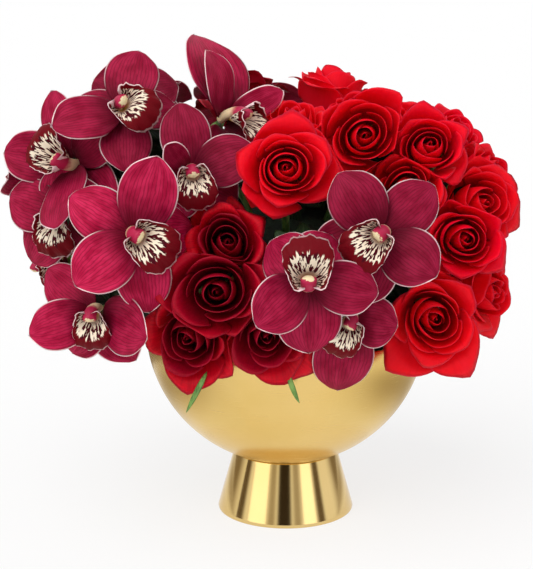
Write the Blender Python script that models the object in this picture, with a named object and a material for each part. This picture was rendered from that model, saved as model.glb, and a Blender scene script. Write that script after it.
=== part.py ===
"""Floral table centerpiece.

A domed, left-leaning mound of red roses, near-black velvet roses and burgundy cymbidium
orchids.  Every bloom stands on its own stem in a block of floral foam, and the foam rests
in a gold hemispherical bowl on a flared conical foot.  Metres, +Z up, the middle of the
foot's base at the origin and the front of the arrangement towards -Y.
"""
import itertools
import math

import bmesh
import bpy
from mathutils import Vector

# ---------------------------------------------------------------- driving dimensions (metres)
MM = 0.001
GAP = 0.0003                # clearance between pieces that touch

BOWL_RADIUS = 0.100         # outer radius of the hemisphere
BOWL_CENTRE_Z = 0.137       # height of the rim and of the sphere's centre
BOWL_WALL = 0.002
BOWL_SIDES = 40
BOWL_RINGS = 8

FOOT_HEIGHT = 0.0445
FOOT_BASE_RADIUS = 0.049
FOOT_TOP_RADIUS = 0.0384
FOOT_WALL = 0.0015
FOOT_SIDES = 40

PAD_HEIGHT = 0.0025         # disc closing the underside of the foot
PAD_RADIUS = FOOT_BASE_RADIUS - FOOT_WALL - 2.0 * GAP

FOAM_BASE_Z = 0.056
FOAM_SIDE_RADIUS = 0.078
FOAM_DOME_Z = 0.145         # centre of the dome, and the point all stems aim at
FOAM_SIDES = 30
STEM_DEPTH = 0.025          # how far a stem is pushed into the foam

ROSE_STEM_RADIUS = 0.0026
ORCHID_STEM_RADIUS = 0.0021
STEM_SIDES = 5
ROSE_SIDES = 10

MOUND_CENTRE = (-0.012, 0.0, 0.195)
MOUND_RADII = (0.172, 0.140, 0.128)

# Rose head: (distance behind the face in metres, fraction of the bloom radius, twist of a ring)
ROSE_PROFILE = (
    (0.000, 0.26, 0),
    (0.002, 0.54, 1),
    (0.006, 0.86, 0),
    (0.012, 1.00, 1),
    (0.022, 0.90, 0),
    (0.034, 0.58, 0),
    (0.043, 0.26, 0),
)
ROSE_DIMPLE = 0.0025
ROSE_LOBE = 0.10
ROSE_DEPTH = 0.047
PRESS_STEPS = 16            # stations along a head's axis when neighbours are compared

# Orchid bloom, at size 1
TEPAL_ANGLES = (0.0, 68.0, 131.0, 229.0, 292.0)
TEPAL_LENGTH = 0.047
TEPAL_OUTLINE = (          # along the tepal, across it, rise towards the viewer (fractions, m)
    (0.56, -0.31, 0.0050),
    (0.86, -0.24, 0.0060),
    (1.00, 0.00, 0.0030),
    (0.86, 0.24, 0.0060),
    (0.56, 0.31, 0.0050),
)
TEPAL_NOTCH = (0.26, 0.0020)
HUB_FRONT = (0.0085, 0.0060)
HUB_BACK = (0.0055, -0.0030)
LIP_RINGS = (              # offset towards the lip, height, half width, half depth
    (0.001, 0.010, 0.0075, 0.0070),
    (0.009, 0.018, 0.0130, 0.0110),
    (0.013, 0.026, 0.0140, 0.0120),
)
LIP_CAP = (0.012, 0.029)
LIP_SIDES = 10

# ---------------------------------------------------------------- layout
# Face centre in millimetres, azimuth of the face (0 = front, + = right), elevation, radius in mm.
FRONT_RED_ROSES = (
    (1, -115, 266, 3, 12, 35),
    (49, -84, 284, -2, 12, 28),
    (48, -20, 303, -2, 70, 30),
    (3, -43, 294, -6, 60, 28),
    (91, -74, 275, -4, 18, 27),
    (122, -10, 279, 42, 40, 28),
    (148, -18, 249, 58, 20, 27),
    (135, -60, 235, 22, 12, 31),
    (115, -92, 215, 0, 8, 28),
    (75, -84, 249, -6, 14, 29),
    (97, -107, 168, 4, 4, 34),
    (146, -48, 170, 46, 2, 30),
    (90, -26, 292, 20, 56, 27),
)
FRONT_DARK_ROSES = (
    (-38, -116, 222, 2, 22, 26),
    (-47, -139, 191, -2, 10, 35),
    (-65, -122, 153, -8, -6, 29),
    (-13, -127, 158, 2, -8, 30),
)
# Column base in millimetres, azimuth, elevation, direction of the lip in the bloom's own plane, size.
FRONT_ORCHIDS = (
    (-95, -121, 223, 2, 14, -33, 1.00),
    (-106, -62, 293, -8, 34, -25, 0.95),
    (-142, -48, 260, -26, 8, 146, 0.98),
    (-151, -64, 226, -24, 6, -82, 0.95),
    (-123, -98, 169, -12, 6, -84, 0.90),
    (-63, -86, 265, 4, 20, -80, 0.90),
    (-49, -42, 292, 52, 26, -66, 1.00),
    (11, -141, 201, 2, 2, 92, 1.00),
    (61, -125, 224, -2, 16, 222, 0.98),
    (43, -114, 170, 4, 0, 238, 0.90),
    (-104, -6, 296, -8, 35, -90, 0.95),
)
# Bearing round the mound (0 = front, 90 = right), rise up it, radius in mm.
BACK_RED_ROSES = (
    (100, -13, 33),
    (127, -13, 34),
    (183, -13, 34),
    (98, 10, 32),
    (121, 14, 34),
    (147, 12, 34),
    (203, 12, 33),
    (112, 41, 33),
    (150, 42, 34),
    (125, 70, 33),
)
BACK_DARK_ROSES = (
    (155, -13, 33),
    (239, -13, 33),
    (230, 13, 33),
    (200, 66, 32),
)
# Bearing, rise, direction of the lip, size.
BACK_ORCHIDS = (
    (211, -8, -90, 0.95),
    (268, -8, -70, 0.95),
    (175, 16, -100, 0.95),
    (258, 20, -110, 1.00),
    (188, 42, -80, 0.95),
    (228, 44, -75, 1.00),
)

# Tepals held short by a neighbour: (bloom, order round the bloom) -> fraction of the length.
TEPAL_TRIM = {
    ("orchid_02", 2): 0.85,
    ("orchid_02", 3): 0.80,
    ("orchid_03", 1): 0.88,
    ("orchid_03", 3): 0.85,
    ("orchid_03", 4): 0.72,
    ("orchid_04", 0): 0.50,
    ("orchid_07", 1): 0.80,
    ("orchid_08", 2): 0.80,
    ("orchid_10", 2): 0.75,
    ("orchid_13", 0): 0.75,
    ("orchid_14", 0): 0.70,
    ("orchid_16", 2): 0.90,
}

# ---------------------------------------------------------------- finishes: colour, roughness, metallic
GOLD = ("bowl_gold", (0.83, 0.58, 0.22), 0.32, 1.0)
FOOT_GOLD = ("foot_gold", (0.83, 0.58, 0.22), 0.12, 1.0)
PAD_BLACK = ("pad_black", (0.03, 0.03, 0.03), 0.80, 0.0)
FOAM_GREEN = ("foam_green", (0.05, 0.16, 0.06), 0.95, 0.0)
ROSE_RED = ("rose_red", (0.62, 0.01, 0.02), 0.60, 0.0)
ROSE_DARK = ("rose_dark", (0.16, 0.004, 0.02), 0.65, 0.0)
ORCHID_BURGUNDY = ("orchid_burgundy", (0.32, 0.015, 0.08), 0.50, 0.0)


def clear_scene():
    """Remove every object the session started with."""
    for item in list(bpy.data.objects):
        bpy.data.objects.remove(item, do_unlink=True)


def finish(values):
    """Make or reuse one Principled material."""
    name, colour, roughness, metallic = values
    material = bpy.data.materials.get(name)
    if material is None:
        material = bpy.data.materials.new(name)
        material.use_nodes = True
        shader = material.node_tree.nodes["Principled BSDF"]
        shader.inputs["Base Color"].default_value = (*colour, 1.0)
        shader.inputs["Roughness"].default_value = roughness
        shader.inputs["Metallic"].default_value = metallic
        material.diffuse_color = (*colour, 1.0)
    return material


def publish(name, mesh_data, values):
    """Turn a bmesh into one named object whose faces point outwards."""
    if mesh_data.calc_volume(signed=True) < 0.0:
        bmesh.ops.reverse_faces(mesh_data, faces=mesh_data.faces[:])
    mesh = bpy.data.meshes.new(name)
    mesh_data.to_mesh(mesh)
    mesh_data.free()
    mesh.materials.append(finish(values))
    body = bpy.data.objects.new(name, mesh)
    bpy.context.scene.collection.objects.link(body)
    return body


def add_ring(mesh_data, points):
    """Add one ring of vertices."""
    return [mesh_data.verts.new(point) for point in points]


def join_rings(mesh_data, coarse, fine):
    """Skin between two rings, the second holding a whole multiple of the first."""
    step = len(fine) // len(coarse)
    for index, corner in enumerate(coarse):
        following = coarse[(index + 1) % len(coarse)]
        first = index * step
        if step == 1:
            end = (first + 1) % len(fine)
            mesh_data.faces.new((corner, following, fine[end], fine[first]))
            continue
        for offset in range(step):
            near = fine[first + offset]
            far = fine[(first + offset + 1) % len(fine)]
            mesh_data.faces.new((corner, far, near))
        last = fine[(first + step) % len(fine)]
        mesh_data.faces.new((corner, following, last))


def close_ring(mesh_data, ring, point=None, flip=False):
    """Close a ring with a fan to a point, or with one flat face."""
    if point is None:
        mesh_data.faces.new(ring[::-1] if flip else ring)
        return
    pole = mesh_data.verts.new(point)
    for index, corner in enumerate(ring):
        following = ring[(index + 1) % len(ring)]
        corners = (corner, following, pole)
        mesh_data.faces.new(corners[::-1] if flip else corners)


def revolve(profile, sides):
    """Closed body from a profile of (radius, height) points; a radius of zero is a pole."""
    body = bmesh.new()
    rings = []
    for radius, height in profile:
        if radius <= 0.0:
            rings.append([body.verts.new((0.0, 0.0, height))])
            continue
        points = []
        for index in range(sides):
            angle = 2.0 * math.pi * index / sides
            points.append((radius * math.cos(angle), radius * math.sin(angle), height))
        rings.append(add_ring(body, points))
    pairs = list(zip(rings, rings[1:]))
    if profile[0][0] > 0.0:
        pairs.append((rings[-1], rings[0]))
    for lower, upper in pairs:
        for index in range(sides):
            after = (index + 1) % sides
            if len(lower) == 1:
                body.faces.new((lower[0], upper[after], upper[index]))
            elif len(upper) == 1:
                body.faces.new((lower[index], lower[after], upper[0]))
            else:
                body.faces.new((lower[index], lower[after], upper[after], upper[index]))
    return body


def arc(radius, centre_z, start, stop, count):
    """Points of a circular profile, angles in degrees below the horizontal."""
    points = []
    for index in range(count + 1):
        angle = math.radians(start + (stop - start) * index / count)
        points.append((radius * math.cos(angle), centre_z - radius * math.sin(angle)))
    return points


def make_bowl():
    """Thin hemispherical bowl with a rounded rim."""
    inner_radius = BOWL_RADIUS - BOWL_WALL
    outer = arc(BOWL_RADIUS, BOWL_CENTRE_Z, 90.0, 0.0, BOWL_RINGS)
    inner = arc(inner_radius, BOWL_CENTRE_Z, 0.0, 90.0, BOWL_RINGS)
    outer[0] = (0.0, outer[0][1])
    inner[-1] = (0.0, inner[-1][1])
    rim = [(BOWL_RADIUS - 0.5 * BOWL_WALL, BOWL_CENTRE_Z + 0.4 * BOWL_WALL)]
    return publish("bowl", revolve(outer + rim + inner, BOWL_SIDES), GOLD)


def make_foot():
    """Flared conical foot, hollow below and closed by a dish that carries the bowl."""
    seat_radius = BOWL_RADIUS + GAP
    angle = math.degrees(math.acos(FOOT_TOP_RADIUS / seat_radius))
    seat = arc(seat_radius, BOWL_CENTRE_Z, angle, 90.0, 5)
    seat[-1] = (0.0, seat[-1][1])
    under = [(0.0, seat[-1][1] - FOOT_WALL)]
    shelf_radius = FOOT_TOP_RADIUS - FOOT_WALL
    shelf = [(shelf_radius, seat[-1][1] - FOOT_WALL)]
    skirt = [
        (FOOT_BASE_RADIUS - FOOT_WALL, 0.0),
        (FOOT_BASE_RADIUS - 0.2 * FOOT_WALL, 0.0),
        (FOOT_BASE_RADIUS, 0.4 * FOOT_WALL),
        (FOOT_TOP_RADIUS + 0.0002, seat[0][1] - 0.0006),
    ]
    return publish("foot", revolve(under + shelf + skirt + seat, FOOT_SIDES), FOOT_GOLD)


def make_pad():
    """Felt-like disc flush with the underside of the foot."""
    profile = [
        (0.0, 0.0),
        (PAD_RADIUS - 0.0004, 0.0),
        (PAD_RADIUS, 0.0006),
        (PAD_RADIUS - 0.0006, PAD_HEIGHT),
        (0.0, PAD_HEIGHT),
    ]
    return publish("base_pad", revolve(profile, FOOT_SIDES), PAD_BLACK)


def face_axes(azimuth, elevation):
    """Right, up and outward directions of a face turned by azimuth and elevation (degrees)."""
    turn = math.radians(azimuth)
    rise = math.radians(elevation)
    outward = Vector((
        math.sin(turn) * math.cos(rise),
        -math.cos(turn) * math.cos(rise),
        math.sin(rise),
    ))
    right = Vector((math.cos(turn), math.sin(turn), 0.0))
    return right, outward.cross(right), outward


def mound_face(bearing, rise):
    """Point on the mound with the azimuth and elevation of its outward normal."""
    turn = math.radians(bearing)
    lift = math.radians(rise)
    unit = (math.cos(lift) * math.sin(turn), -math.cos(lift) * math.cos(turn), math.sin(lift))
    point = Vector([MOUND_CENTRE[axis] + MOUND_RADII[axis] * unit[axis] for axis in range(3)])
    normal = Vector([unit[axis] / MOUND_RADII[axis] for axis in range(3)]).normalized()
    azimuth = math.degrees(math.atan2(normal.x, -normal.y))
    elevation = math.degrees(math.asin(normal.z))
    return point, azimuth, elevation


def stem_stations(base, outward):
    """Centres and directions of a stem from the bloom's base down into the foam."""
    middle = Vector((0.0, 0.0, FOAM_DOME_Z))
    towards = (base - middle).normalized()
    entry = middle + towards * (FOAM_SIDE_RADIUS + 0.003)
    end = middle + towards * (FOAM_SIDE_RADIUS - STEM_DEPTH)
    reach = (base - entry).length
    bend = (base - outward * 0.35 * reach + entry + towards * 0.35 * reach) * 0.5
    return [(bend, (outward + towards).normalized()), (entry, towards), (end, towards)]


def stem_rings(mesh_data, stations, right, outward, radius):
    """Rings along a stem, each turned from the one before by the least rotation."""
    rings = []
    side = right.copy()
    direction = outward.copy()
    for centre, heading in stations:
        turn = direction.rotation_difference(heading)
        side = turn @ side
        direction = heading
        other = direction.cross(side)
        points = []
        for index in range(STEM_SIDES):
            angle = 2.0 * math.pi * index / STEM_SIDES
            points.append(centre + (side * math.cos(angle) + other * math.sin(angle)) * radius)
        rings.append(add_ring(mesh_data, points))
    return rings


def stem_hole(stations, right, outward, radius):
    """Cutter a little larger than the part of a stem that stands in the foam."""
    cutter = bmesh.new()
    end, heading = stations[-1]
    entry = stations[-2][0]
    clear = radius + GAP / math.cos(math.pi / STEM_SIDES)
    longer = [stations[0], (entry + heading * 0.006, heading), (end - heading * GAP, heading)]
    rings = stem_rings(cutter, longer, right, outward, clear)
    for vertex in rings[0]:
        cutter.verts.remove(vertex)
    join_rings(cutter, rings[1], rings[2])
    close_ring(cutter, rings[1])
    close_ring(cutter, rings[2], flip=True)
    bmesh.ops.recalc_face_normals(cutter, faces=cutter.faces[:])
    return cutter


def press_planes(heads):
    """Planes (point, direction away from the head) where neighbouring rose heads press together."""
    planes = [[] for _ in heads]
    axes = []
    for face, azimuth, elevation, _ in heads:
        outward = face_axes(azimuth, elevation)[2]
        steps = [ROSE_DEPTH * index / PRESS_STEPS for index in range(PRESS_STEPS + 1)]
        axes.append([face - outward * step for step in steps])
    for one, two in itertools.combinations(range(len(heads)), 2):
        pairs = itertools.product(axes[one], axes[two])
        near, far = min(pairs, key=lambda pair: (pair[0] - pair[1]).length)
        reach = heads[one][3] + heads[two][3]
        if (far - near).length > reach:
            continue
        middle = near.lerp(far, heads[one][3] / reach)
        direction = (far - near).normalized()
        planes[one].append((middle, direction))
        planes[two].append((middle, -direction))
    return planes


def pressed(centre, across, reach, planes):
    """Reach of a ring point once the neighbouring heads have pressed it in."""
    for middle, direction in planes:
        slope = across.dot(direction)
        if slope > 0.0:
            room = (middle - centre).dot(direction) - 0.5 * GAP
            reach = min(reach, room / slope)
    return reach


def make_rose(name, face, azimuth, elevation, radius, planes, values):
    """Rose head with its stem as one body; returns the cutter for its hole in the foam."""
    right, upward, outward = face_axes(azimuth, elevation)
    base = face - outward * ROSE_DEPTH
    stations = [(base, outward)] + stem_stations(base, outward)
    body = bmesh.new()
    stems = stem_rings(body, stations, right, outward, ROSE_STEM_RADIUS)
    heads = []
    for depth, fraction, twist in ROSE_PROFILE:
        points = []
        for index in range(ROSE_SIDES):
            angle = 2.0 * math.pi * index / ROSE_SIDES
            swell = 1.0 if index % 2 == twist else 1.0 - ROSE_LOBE
            across = right * math.cos(angle) + upward * math.sin(angle)
            centre = face - outward * depth
            reach = pressed(centre, across, radius * fraction * swell, planes)
            points.append(centre + across * reach)
        heads.append(add_ring(body, points))
    close_ring(body, heads[0], face - outward * ROSE_DIMPLE, flip=True)
    for front, behind in zip(heads, heads[1:]):
        join_rings(body, front, behind)
    join_rings(body, stems[0], heads[-1])
    for above, below in zip(stems, stems[1:]):
        join_rings(body, above, below)
    close_ring(body, stems[-1])
    bmesh.ops.recalc_face_normals(body, faces=body.faces[:])
    publish(name, body, values)
    return stem_hole(stations[1:], right, outward, ROSE_STEM_RADIUS)


def tepal_ring(name, size):
    """Outline of the five tepals as (across, along, height) in the bloom's own frame."""
    points = []
    count = len(TEPAL_ANGLES)
    for order, angle in enumerate(TEPAL_ANGLES):
        trim = TEPAL_TRIM.get((name, order), 1.0)
        heading = math.radians(angle)
        along = (-math.sin(heading), math.cos(heading))
        across = (-along[1], along[0])
        for distance, offset, height in TEPAL_OUTLINE:
            far = distance * TEPAL_LENGTH * size * trim
            wide = offset * TEPAL_LENGTH * size
            points.append((
                along[0] * far + across[0] * wide,
                along[1] * far + across[1] * wide,
                height * size,
            ))
        following = TEPAL_ANGLES[(order + 1) % count] + (360.0 if order + 1 == count else 0.0)
        notch = math.radians(0.5 * (angle + following))
        reach = TEPAL_NOTCH[0] * TEPAL_LENGTH * size
        points.append((-math.sin(notch) * reach, math.cos(notch) * reach, TEPAL_NOTCH[1] * size))
    return points


def make_orchid(name, hub, azimuth, elevation, lip, size, values):
    """Orchid bloom with its pedicel as one body; returns the cutter for its hole in the foam."""
    right, upward, outward = face_axes(azimuth, elevation)
    spin = math.radians(lip)
    dorsal = -(right * math.cos(spin) + upward * math.sin(spin))
    side = dorsal.cross(outward)

    def place(point):
        return hub + side * point[0] + dorsal * point[1] + outward * point[2]

    outline = tepal_ring(name, size)
    total = len(outline)
    hubs = []
    for reach, height in (HUB_FRONT, HUB_BACK):
        points = []
        for across, along, _ in outline:
            length = math.hypot(across, along)
            points.append((across / length * reach * size, along / length * reach * size, height * size))
        hubs.append(points)
    lips = []
    step = total // LIP_SIDES
    for offset, height, wide, deep in LIP_RINGS:
        points = []
        for index in range(LIP_SIDES):
            across, along, _ = outline[index * step]
            angle = math.atan2(along, across)
            points.append((
                wide * size * math.cos(angle),
                (deep * math.sin(angle) - offset) * size,
                height * size,
            ))
        lips.append(points)

    body = bmesh.new()
    base = place((0.0, 0.0, (HUB_BACK[1] - 0.005) * size))
    stations = [(base, outward)] + stem_stations(base, outward)
    first = outline[0]
    reference = (side * first[0] + dorsal * first[1]).normalized()
    stems = stem_rings(body, stations, reference, outward, ORCHID_STEM_RADIUS)
    back = add_ring(body, [place(point) for point in hubs[1]])
    edge = add_ring(body, [place(point) for point in outline])
    front = add_ring(body, [place(point) for point in hubs[0]])
    bumps = [add_ring(body, [place(point) for point in points]) for points in lips]
    join_rings(body, stems[0], back)
    join_rings(body, back, edge)
    join_rings(body, edge, front)
    join_rings(body, bumps[0], front)
    for lower, upper in zip(bumps, bumps[1:]):
        join_rings(body, lower, upper)
    close_ring(body, bumps[-1], place((0.0, -LIP_CAP[0] * size, LIP_CAP[1] * size)))
    for above, below in zip(stems, stems[1:]):
        join_rings(body, above, below)
    close_ring(body, stems[-1])
    bmesh.ops.recalc_face_normals(body, faces=body.faces[:])
    publish(name, body, values)
    return stem_hole(stations[1:], reference, outward, ORCHID_STEM_RADIUS)


def make_blooms():
    """Every bloom of the arrangement; returns the cutters for the foam."""
    cutters = []
    groups = (
        ("red_rose", FRONT_RED_ROSES, BACK_RED_ROSES, ROSE_RED),
        ("dark_rose", FRONT_DARK_ROSES, BACK_DARK_ROSES, ROSE_DARK),
    )
    names = []
    heads = []
    finishes = []
    for kind, front, back, values in groups:
        rows = []
        for x, y, z, azimuth, elevation, radius in front:
            rows.append((Vector((x, y, z)) * MM, azimuth, elevation, radius * MM))
        for bearing, rise, radius in back:
            rows.append((*mound_face(bearing, rise), radius * MM))
        names.extend(f"{kind}_{number:02d}" for number in range(1, len(rows) + 1))
        heads.extend(rows)
        finishes.extend([values] * len(rows))
    for name, head, planes, values in zip(names, heads, press_planes(heads), finishes):
        cutters.append(make_rose(name, *head, planes, values))
    rows = []
    for x, y, z, azimuth, elevation, lip, size in FRONT_ORCHIDS:
        rows.append((Vector((x, y, z)) * MM, azimuth, elevation, lip, size))
    for bearing, rise, lip, size in BACK_ORCHIDS:
        rows.append((*mound_face(bearing, rise), lip, size))
    for number, row in enumerate(rows, start=1):
        cutters.append(make_orchid(f"orchid_{number:02d}", *row, ORCHID_BURGUNDY))
    return cutters


def make_foam(cutters):
    """Domed foam block shaped to the bowl, with one clearance hole for every stem."""
    reach = BOWL_RADIUS - BOWL_WALL - GAP
    base_radius = math.sqrt(reach ** 2 - (BOWL_CENTRE_Z - FOAM_BASE_Z) ** 2) - 0.001
    start = math.degrees(math.asin((BOWL_CENTRE_Z - FOAM_BASE_Z) / reach))
    stop = math.degrees(math.acos(FOAM_SIDE_RADIUS / reach))
    side = arc(reach - 0.0006, BOWL_CENTRE_Z, start - 1.0, stop, 3)
    dome = arc(FOAM_SIDE_RADIUS, FOAM_DOME_Z, 0.0, -90.0, 6)
    dome[-1] = (0.0, dome[-1][1])
    profile = [(0.0, FOAM_BASE_Z), (base_radius, FOAM_BASE_Z)] + side + dome
    foam = publish("floral_foam", revolve(profile, FOAM_SIDES), FOAM_GREEN)

    joined = bmesh.new()
    for cutter in cutters:
        part = bpy.data.meshes.new("hole")
        cutter.to_mesh(part)
        cutter.free()
        joined.from_mesh(part)
        bpy.data.meshes.remove(part)
    mesh = bpy.data.meshes.new("stem_holes")
    joined.to_mesh(mesh)
    joined.free()
    holes = bpy.data.objects.new("stem_holes", mesh)
    bpy.context.scene.collection.objects.link(holes)
    cut = foam.modifiers.new("stem_holes", "BOOLEAN")
    cut.operation = "DIFFERENCE"
    cut.solver = "EXACT"
    cut.object = holes
    graph = bpy.context.evaluated_depsgraph_get()
    result = bpy.data.meshes.new_from_object(foam.evaluated_get(graph))
    foam.modifiers.clear()
    foam.data = result
    bpy.data.objects.remove(holes, do_unlink=True)
    return foam


def main():
    """Build the whole centerpiece."""
    clear_scene()
    make_pad()
    make_foot()
    make_bowl()
    make_foam(make_blooms())


main()
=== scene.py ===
"""Floral table centerpiece: roses and orchids in a gold footed bowl.

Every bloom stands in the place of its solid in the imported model; a few are nudged by up to a
centimetre.  Petals, tepals and lips are thin closed sheets worked out with numpy: each is a
function of two parameters on a grid, `across` from one side to the other and `along` from the
base to the rim.
"""
from __future__ import annotations

import logging
import math
from dataclasses import dataclass, field
from enum import Enum
from itertools import combinations
from typing import Sequence, Union

import bpy
import numpy as np
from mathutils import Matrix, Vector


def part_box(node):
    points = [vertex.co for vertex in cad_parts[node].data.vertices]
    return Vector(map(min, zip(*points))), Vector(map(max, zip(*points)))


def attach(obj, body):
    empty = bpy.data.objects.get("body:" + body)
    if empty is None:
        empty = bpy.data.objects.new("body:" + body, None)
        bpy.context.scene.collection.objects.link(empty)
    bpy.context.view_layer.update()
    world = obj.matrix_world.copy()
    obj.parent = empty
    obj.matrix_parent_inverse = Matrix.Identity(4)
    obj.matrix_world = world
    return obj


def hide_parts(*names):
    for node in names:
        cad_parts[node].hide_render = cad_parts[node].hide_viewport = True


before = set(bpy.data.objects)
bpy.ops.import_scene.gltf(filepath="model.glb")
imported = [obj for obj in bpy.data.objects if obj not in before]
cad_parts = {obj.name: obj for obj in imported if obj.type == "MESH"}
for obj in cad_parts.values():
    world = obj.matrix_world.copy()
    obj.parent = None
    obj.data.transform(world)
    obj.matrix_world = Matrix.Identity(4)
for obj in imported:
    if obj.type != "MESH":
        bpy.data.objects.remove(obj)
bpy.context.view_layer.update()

LOG = logging.getLogger("centerpiece")
MM = 0.001
LEAF_SEED, SEPAL_SEED, LIP_SEED, ORCHID_SEED = 900, 500, 200, 1000
FULL_TURN = 2.0 * math.pi
GOLDEN_ANGLE = 2.399963
Colour = tuple[float, float, float]
Triple = tuple[float, float, float]
Five = tuple[float, float, float, float, float]
Plane = tuple[np.ndarray, np.ndarray]
ALL_ONE: Five = (1.0, 1.0, 1.0, 1.0, 1.0)
ALL_ZERO: Five = (0.0, 0.0, 0.0, 0.0, 0.0)


class BloomKind(Enum):
    """The three kinds of bloom in the arrangement."""

    RED_ROSE = "red_rose"
    DARK_ROSE = "dark_rose"
    ORCHID = "orchid"


# ---------------------------------------------------------------------------- layout
@dataclass(frozen=True)
class RoseSpec:
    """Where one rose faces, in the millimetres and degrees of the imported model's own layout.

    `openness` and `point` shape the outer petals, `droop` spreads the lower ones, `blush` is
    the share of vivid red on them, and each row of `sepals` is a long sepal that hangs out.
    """

    face: Triple
    azimuth: float
    elevation: float
    radius: float
    petals: int = 20
    openness: float = 1.0
    point: float = 0.85
    droop: float = 0.0
    blush: float = 0.0
    sepals: tuple[tuple[float, float, float, float], ...] = ()


@dataclass(frozen=True)
class OrchidSpec:
    """Where one orchid faces, which way its lip hangs, and how its tepals are turned.

    The five numbers of `leans`, `turns`, `breadths` and `trims` are those of the dorsal tepal
    and then of the others in order round the bloom.  `sink` sets the bloom back, in metres.
    """

    hub: Triple
    azimuth: float
    elevation: float
    lip: float
    size: float
    leans: Five = ALL_ZERO
    turns: Five = ALL_ZERO
    breadths: Five = ALL_ONE
    trims: Five = ALL_ONE
    lip_share: float = 1.0
    sink: float = 0.0
    # How far all the tepals of this bloom are darkened with painted shade.
    shade: float = 0.5


MOUND_CENTRE = (-12.0, 0.0, 195.0)
MOUND_RADII = (172.0, 140.0, 128.0)


def mound_face(bearing: float, rise: float) -> tuple[Triple, float, float]:
    """Point on the ellipsoidal mound with the azimuth and elevation of its outward normal.

    Args:
        bearing: degrees round the mound, 0 in front and 90 to the right.
        rise: degrees up the mound.

    Returns:
        The point in millimetres, the azimuth and the elevation in degrees.
    """
    turn, lift = math.radians(bearing), math.radians(rise)
    unit = np.array([
        math.cos(lift) * math.sin(turn),
        -math.cos(lift) * math.cos(turn),
        math.sin(lift),
    ])
    point = np.array(MOUND_CENTRE) + np.array(MOUND_RADII) * unit
    normal = unit / np.array(MOUND_RADII)
    normal /= np.linalg.norm(normal)
    azimuth = math.degrees(math.atan2(normal[0], -normal[1]))
    return tuple(point), azimuth, math.degrees(math.asin(normal[2]))


def back_rose(bearing: float, rise: float, radius: float, **looks: float) -> RoseSpec:
    """A rose on the far side of the mound, facing straight out of it."""
    return RoseSpec(*mound_face(bearing, rise), radius, **looks)


def back_orchid(bearing: float, rise: float, lip: float, size: float, **looks: float) -> OrchidSpec:
    """An orchid on the far side of the mound, facing straight out of it."""
    return OrchidSpec(*mound_face(bearing, rise), lip, size, **looks)


RED_ROSES = (
    RoseSpec((1, -115, 266), 3, 12, 33, petals=22),
    RoseSpec((49, -84, 284), -2, 12, 28, petals=18, openness=0.55, point=1.0),
    RoseSpec((48, -20, 300), -2, 70, 30),
    RoseSpec((3, -43, 294), -6, 60, 28),
    RoseSpec((91, -74, 275), -4, 18, 27, openness=0.85),
    RoseSpec((122, -10, 279), 42, 40, 28),
    RoseSpec((148, -18, 249), 58, 20, 27),
    RoseSpec((135, -60, 235), 22, 12, 34),
    RoseSpec((115, -92, 215), 0, 8, 28, openness=0.85),
    RoseSpec((75, -84, 249), -6, 14, 30, openness=0.9),
    RoseSpec((97, -107, 163), 4, 4, 34, petals=21, point=0.9, droop=1.0),
    RoseSpec((146, -48, 170), 46, 2, 30),
    RoseSpec((90, -26, 292), 20, 56, 27),
    back_rose(100, -13, 33),
    back_rose(127, -13, 34),
    back_rose(183, -13, 34),
    back_rose(98, 10, 32),
    back_rose(121, 14, 34),
    back_rose(147, 12, 34),
    back_rose(203, 12, 33),
    back_rose(112, 41, 33),
    back_rose(150, 42, 34),
    back_rose(125, 70, 33),
)
DARK_ROSES = (
    RoseSpec((-38, -116, 222), 2, 22, 28, blush=1.0),
    RoseSpec((-45, -139, 191), -2, 10, 35, petals=19, point=1.0, openness=0.9, blush=0.25),
    RoseSpec((-65, -122, 153), -8, -6, 32, point=1.0, droop=1.2, blush=0.8,
             sepals=((10, -24, -3, -50),)),
    RoseSpec((-13, -127, 158), 2, -8, 34, point=1.0, droop=1.5, blush=0.8,
             sepals=((13, -29, 21, -48),)),
    back_rose(155, -13, 33),
    back_rose(239, -13, 33),
    back_rose(230, 13, 33),
    back_rose(200, 66, 32),
)
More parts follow.
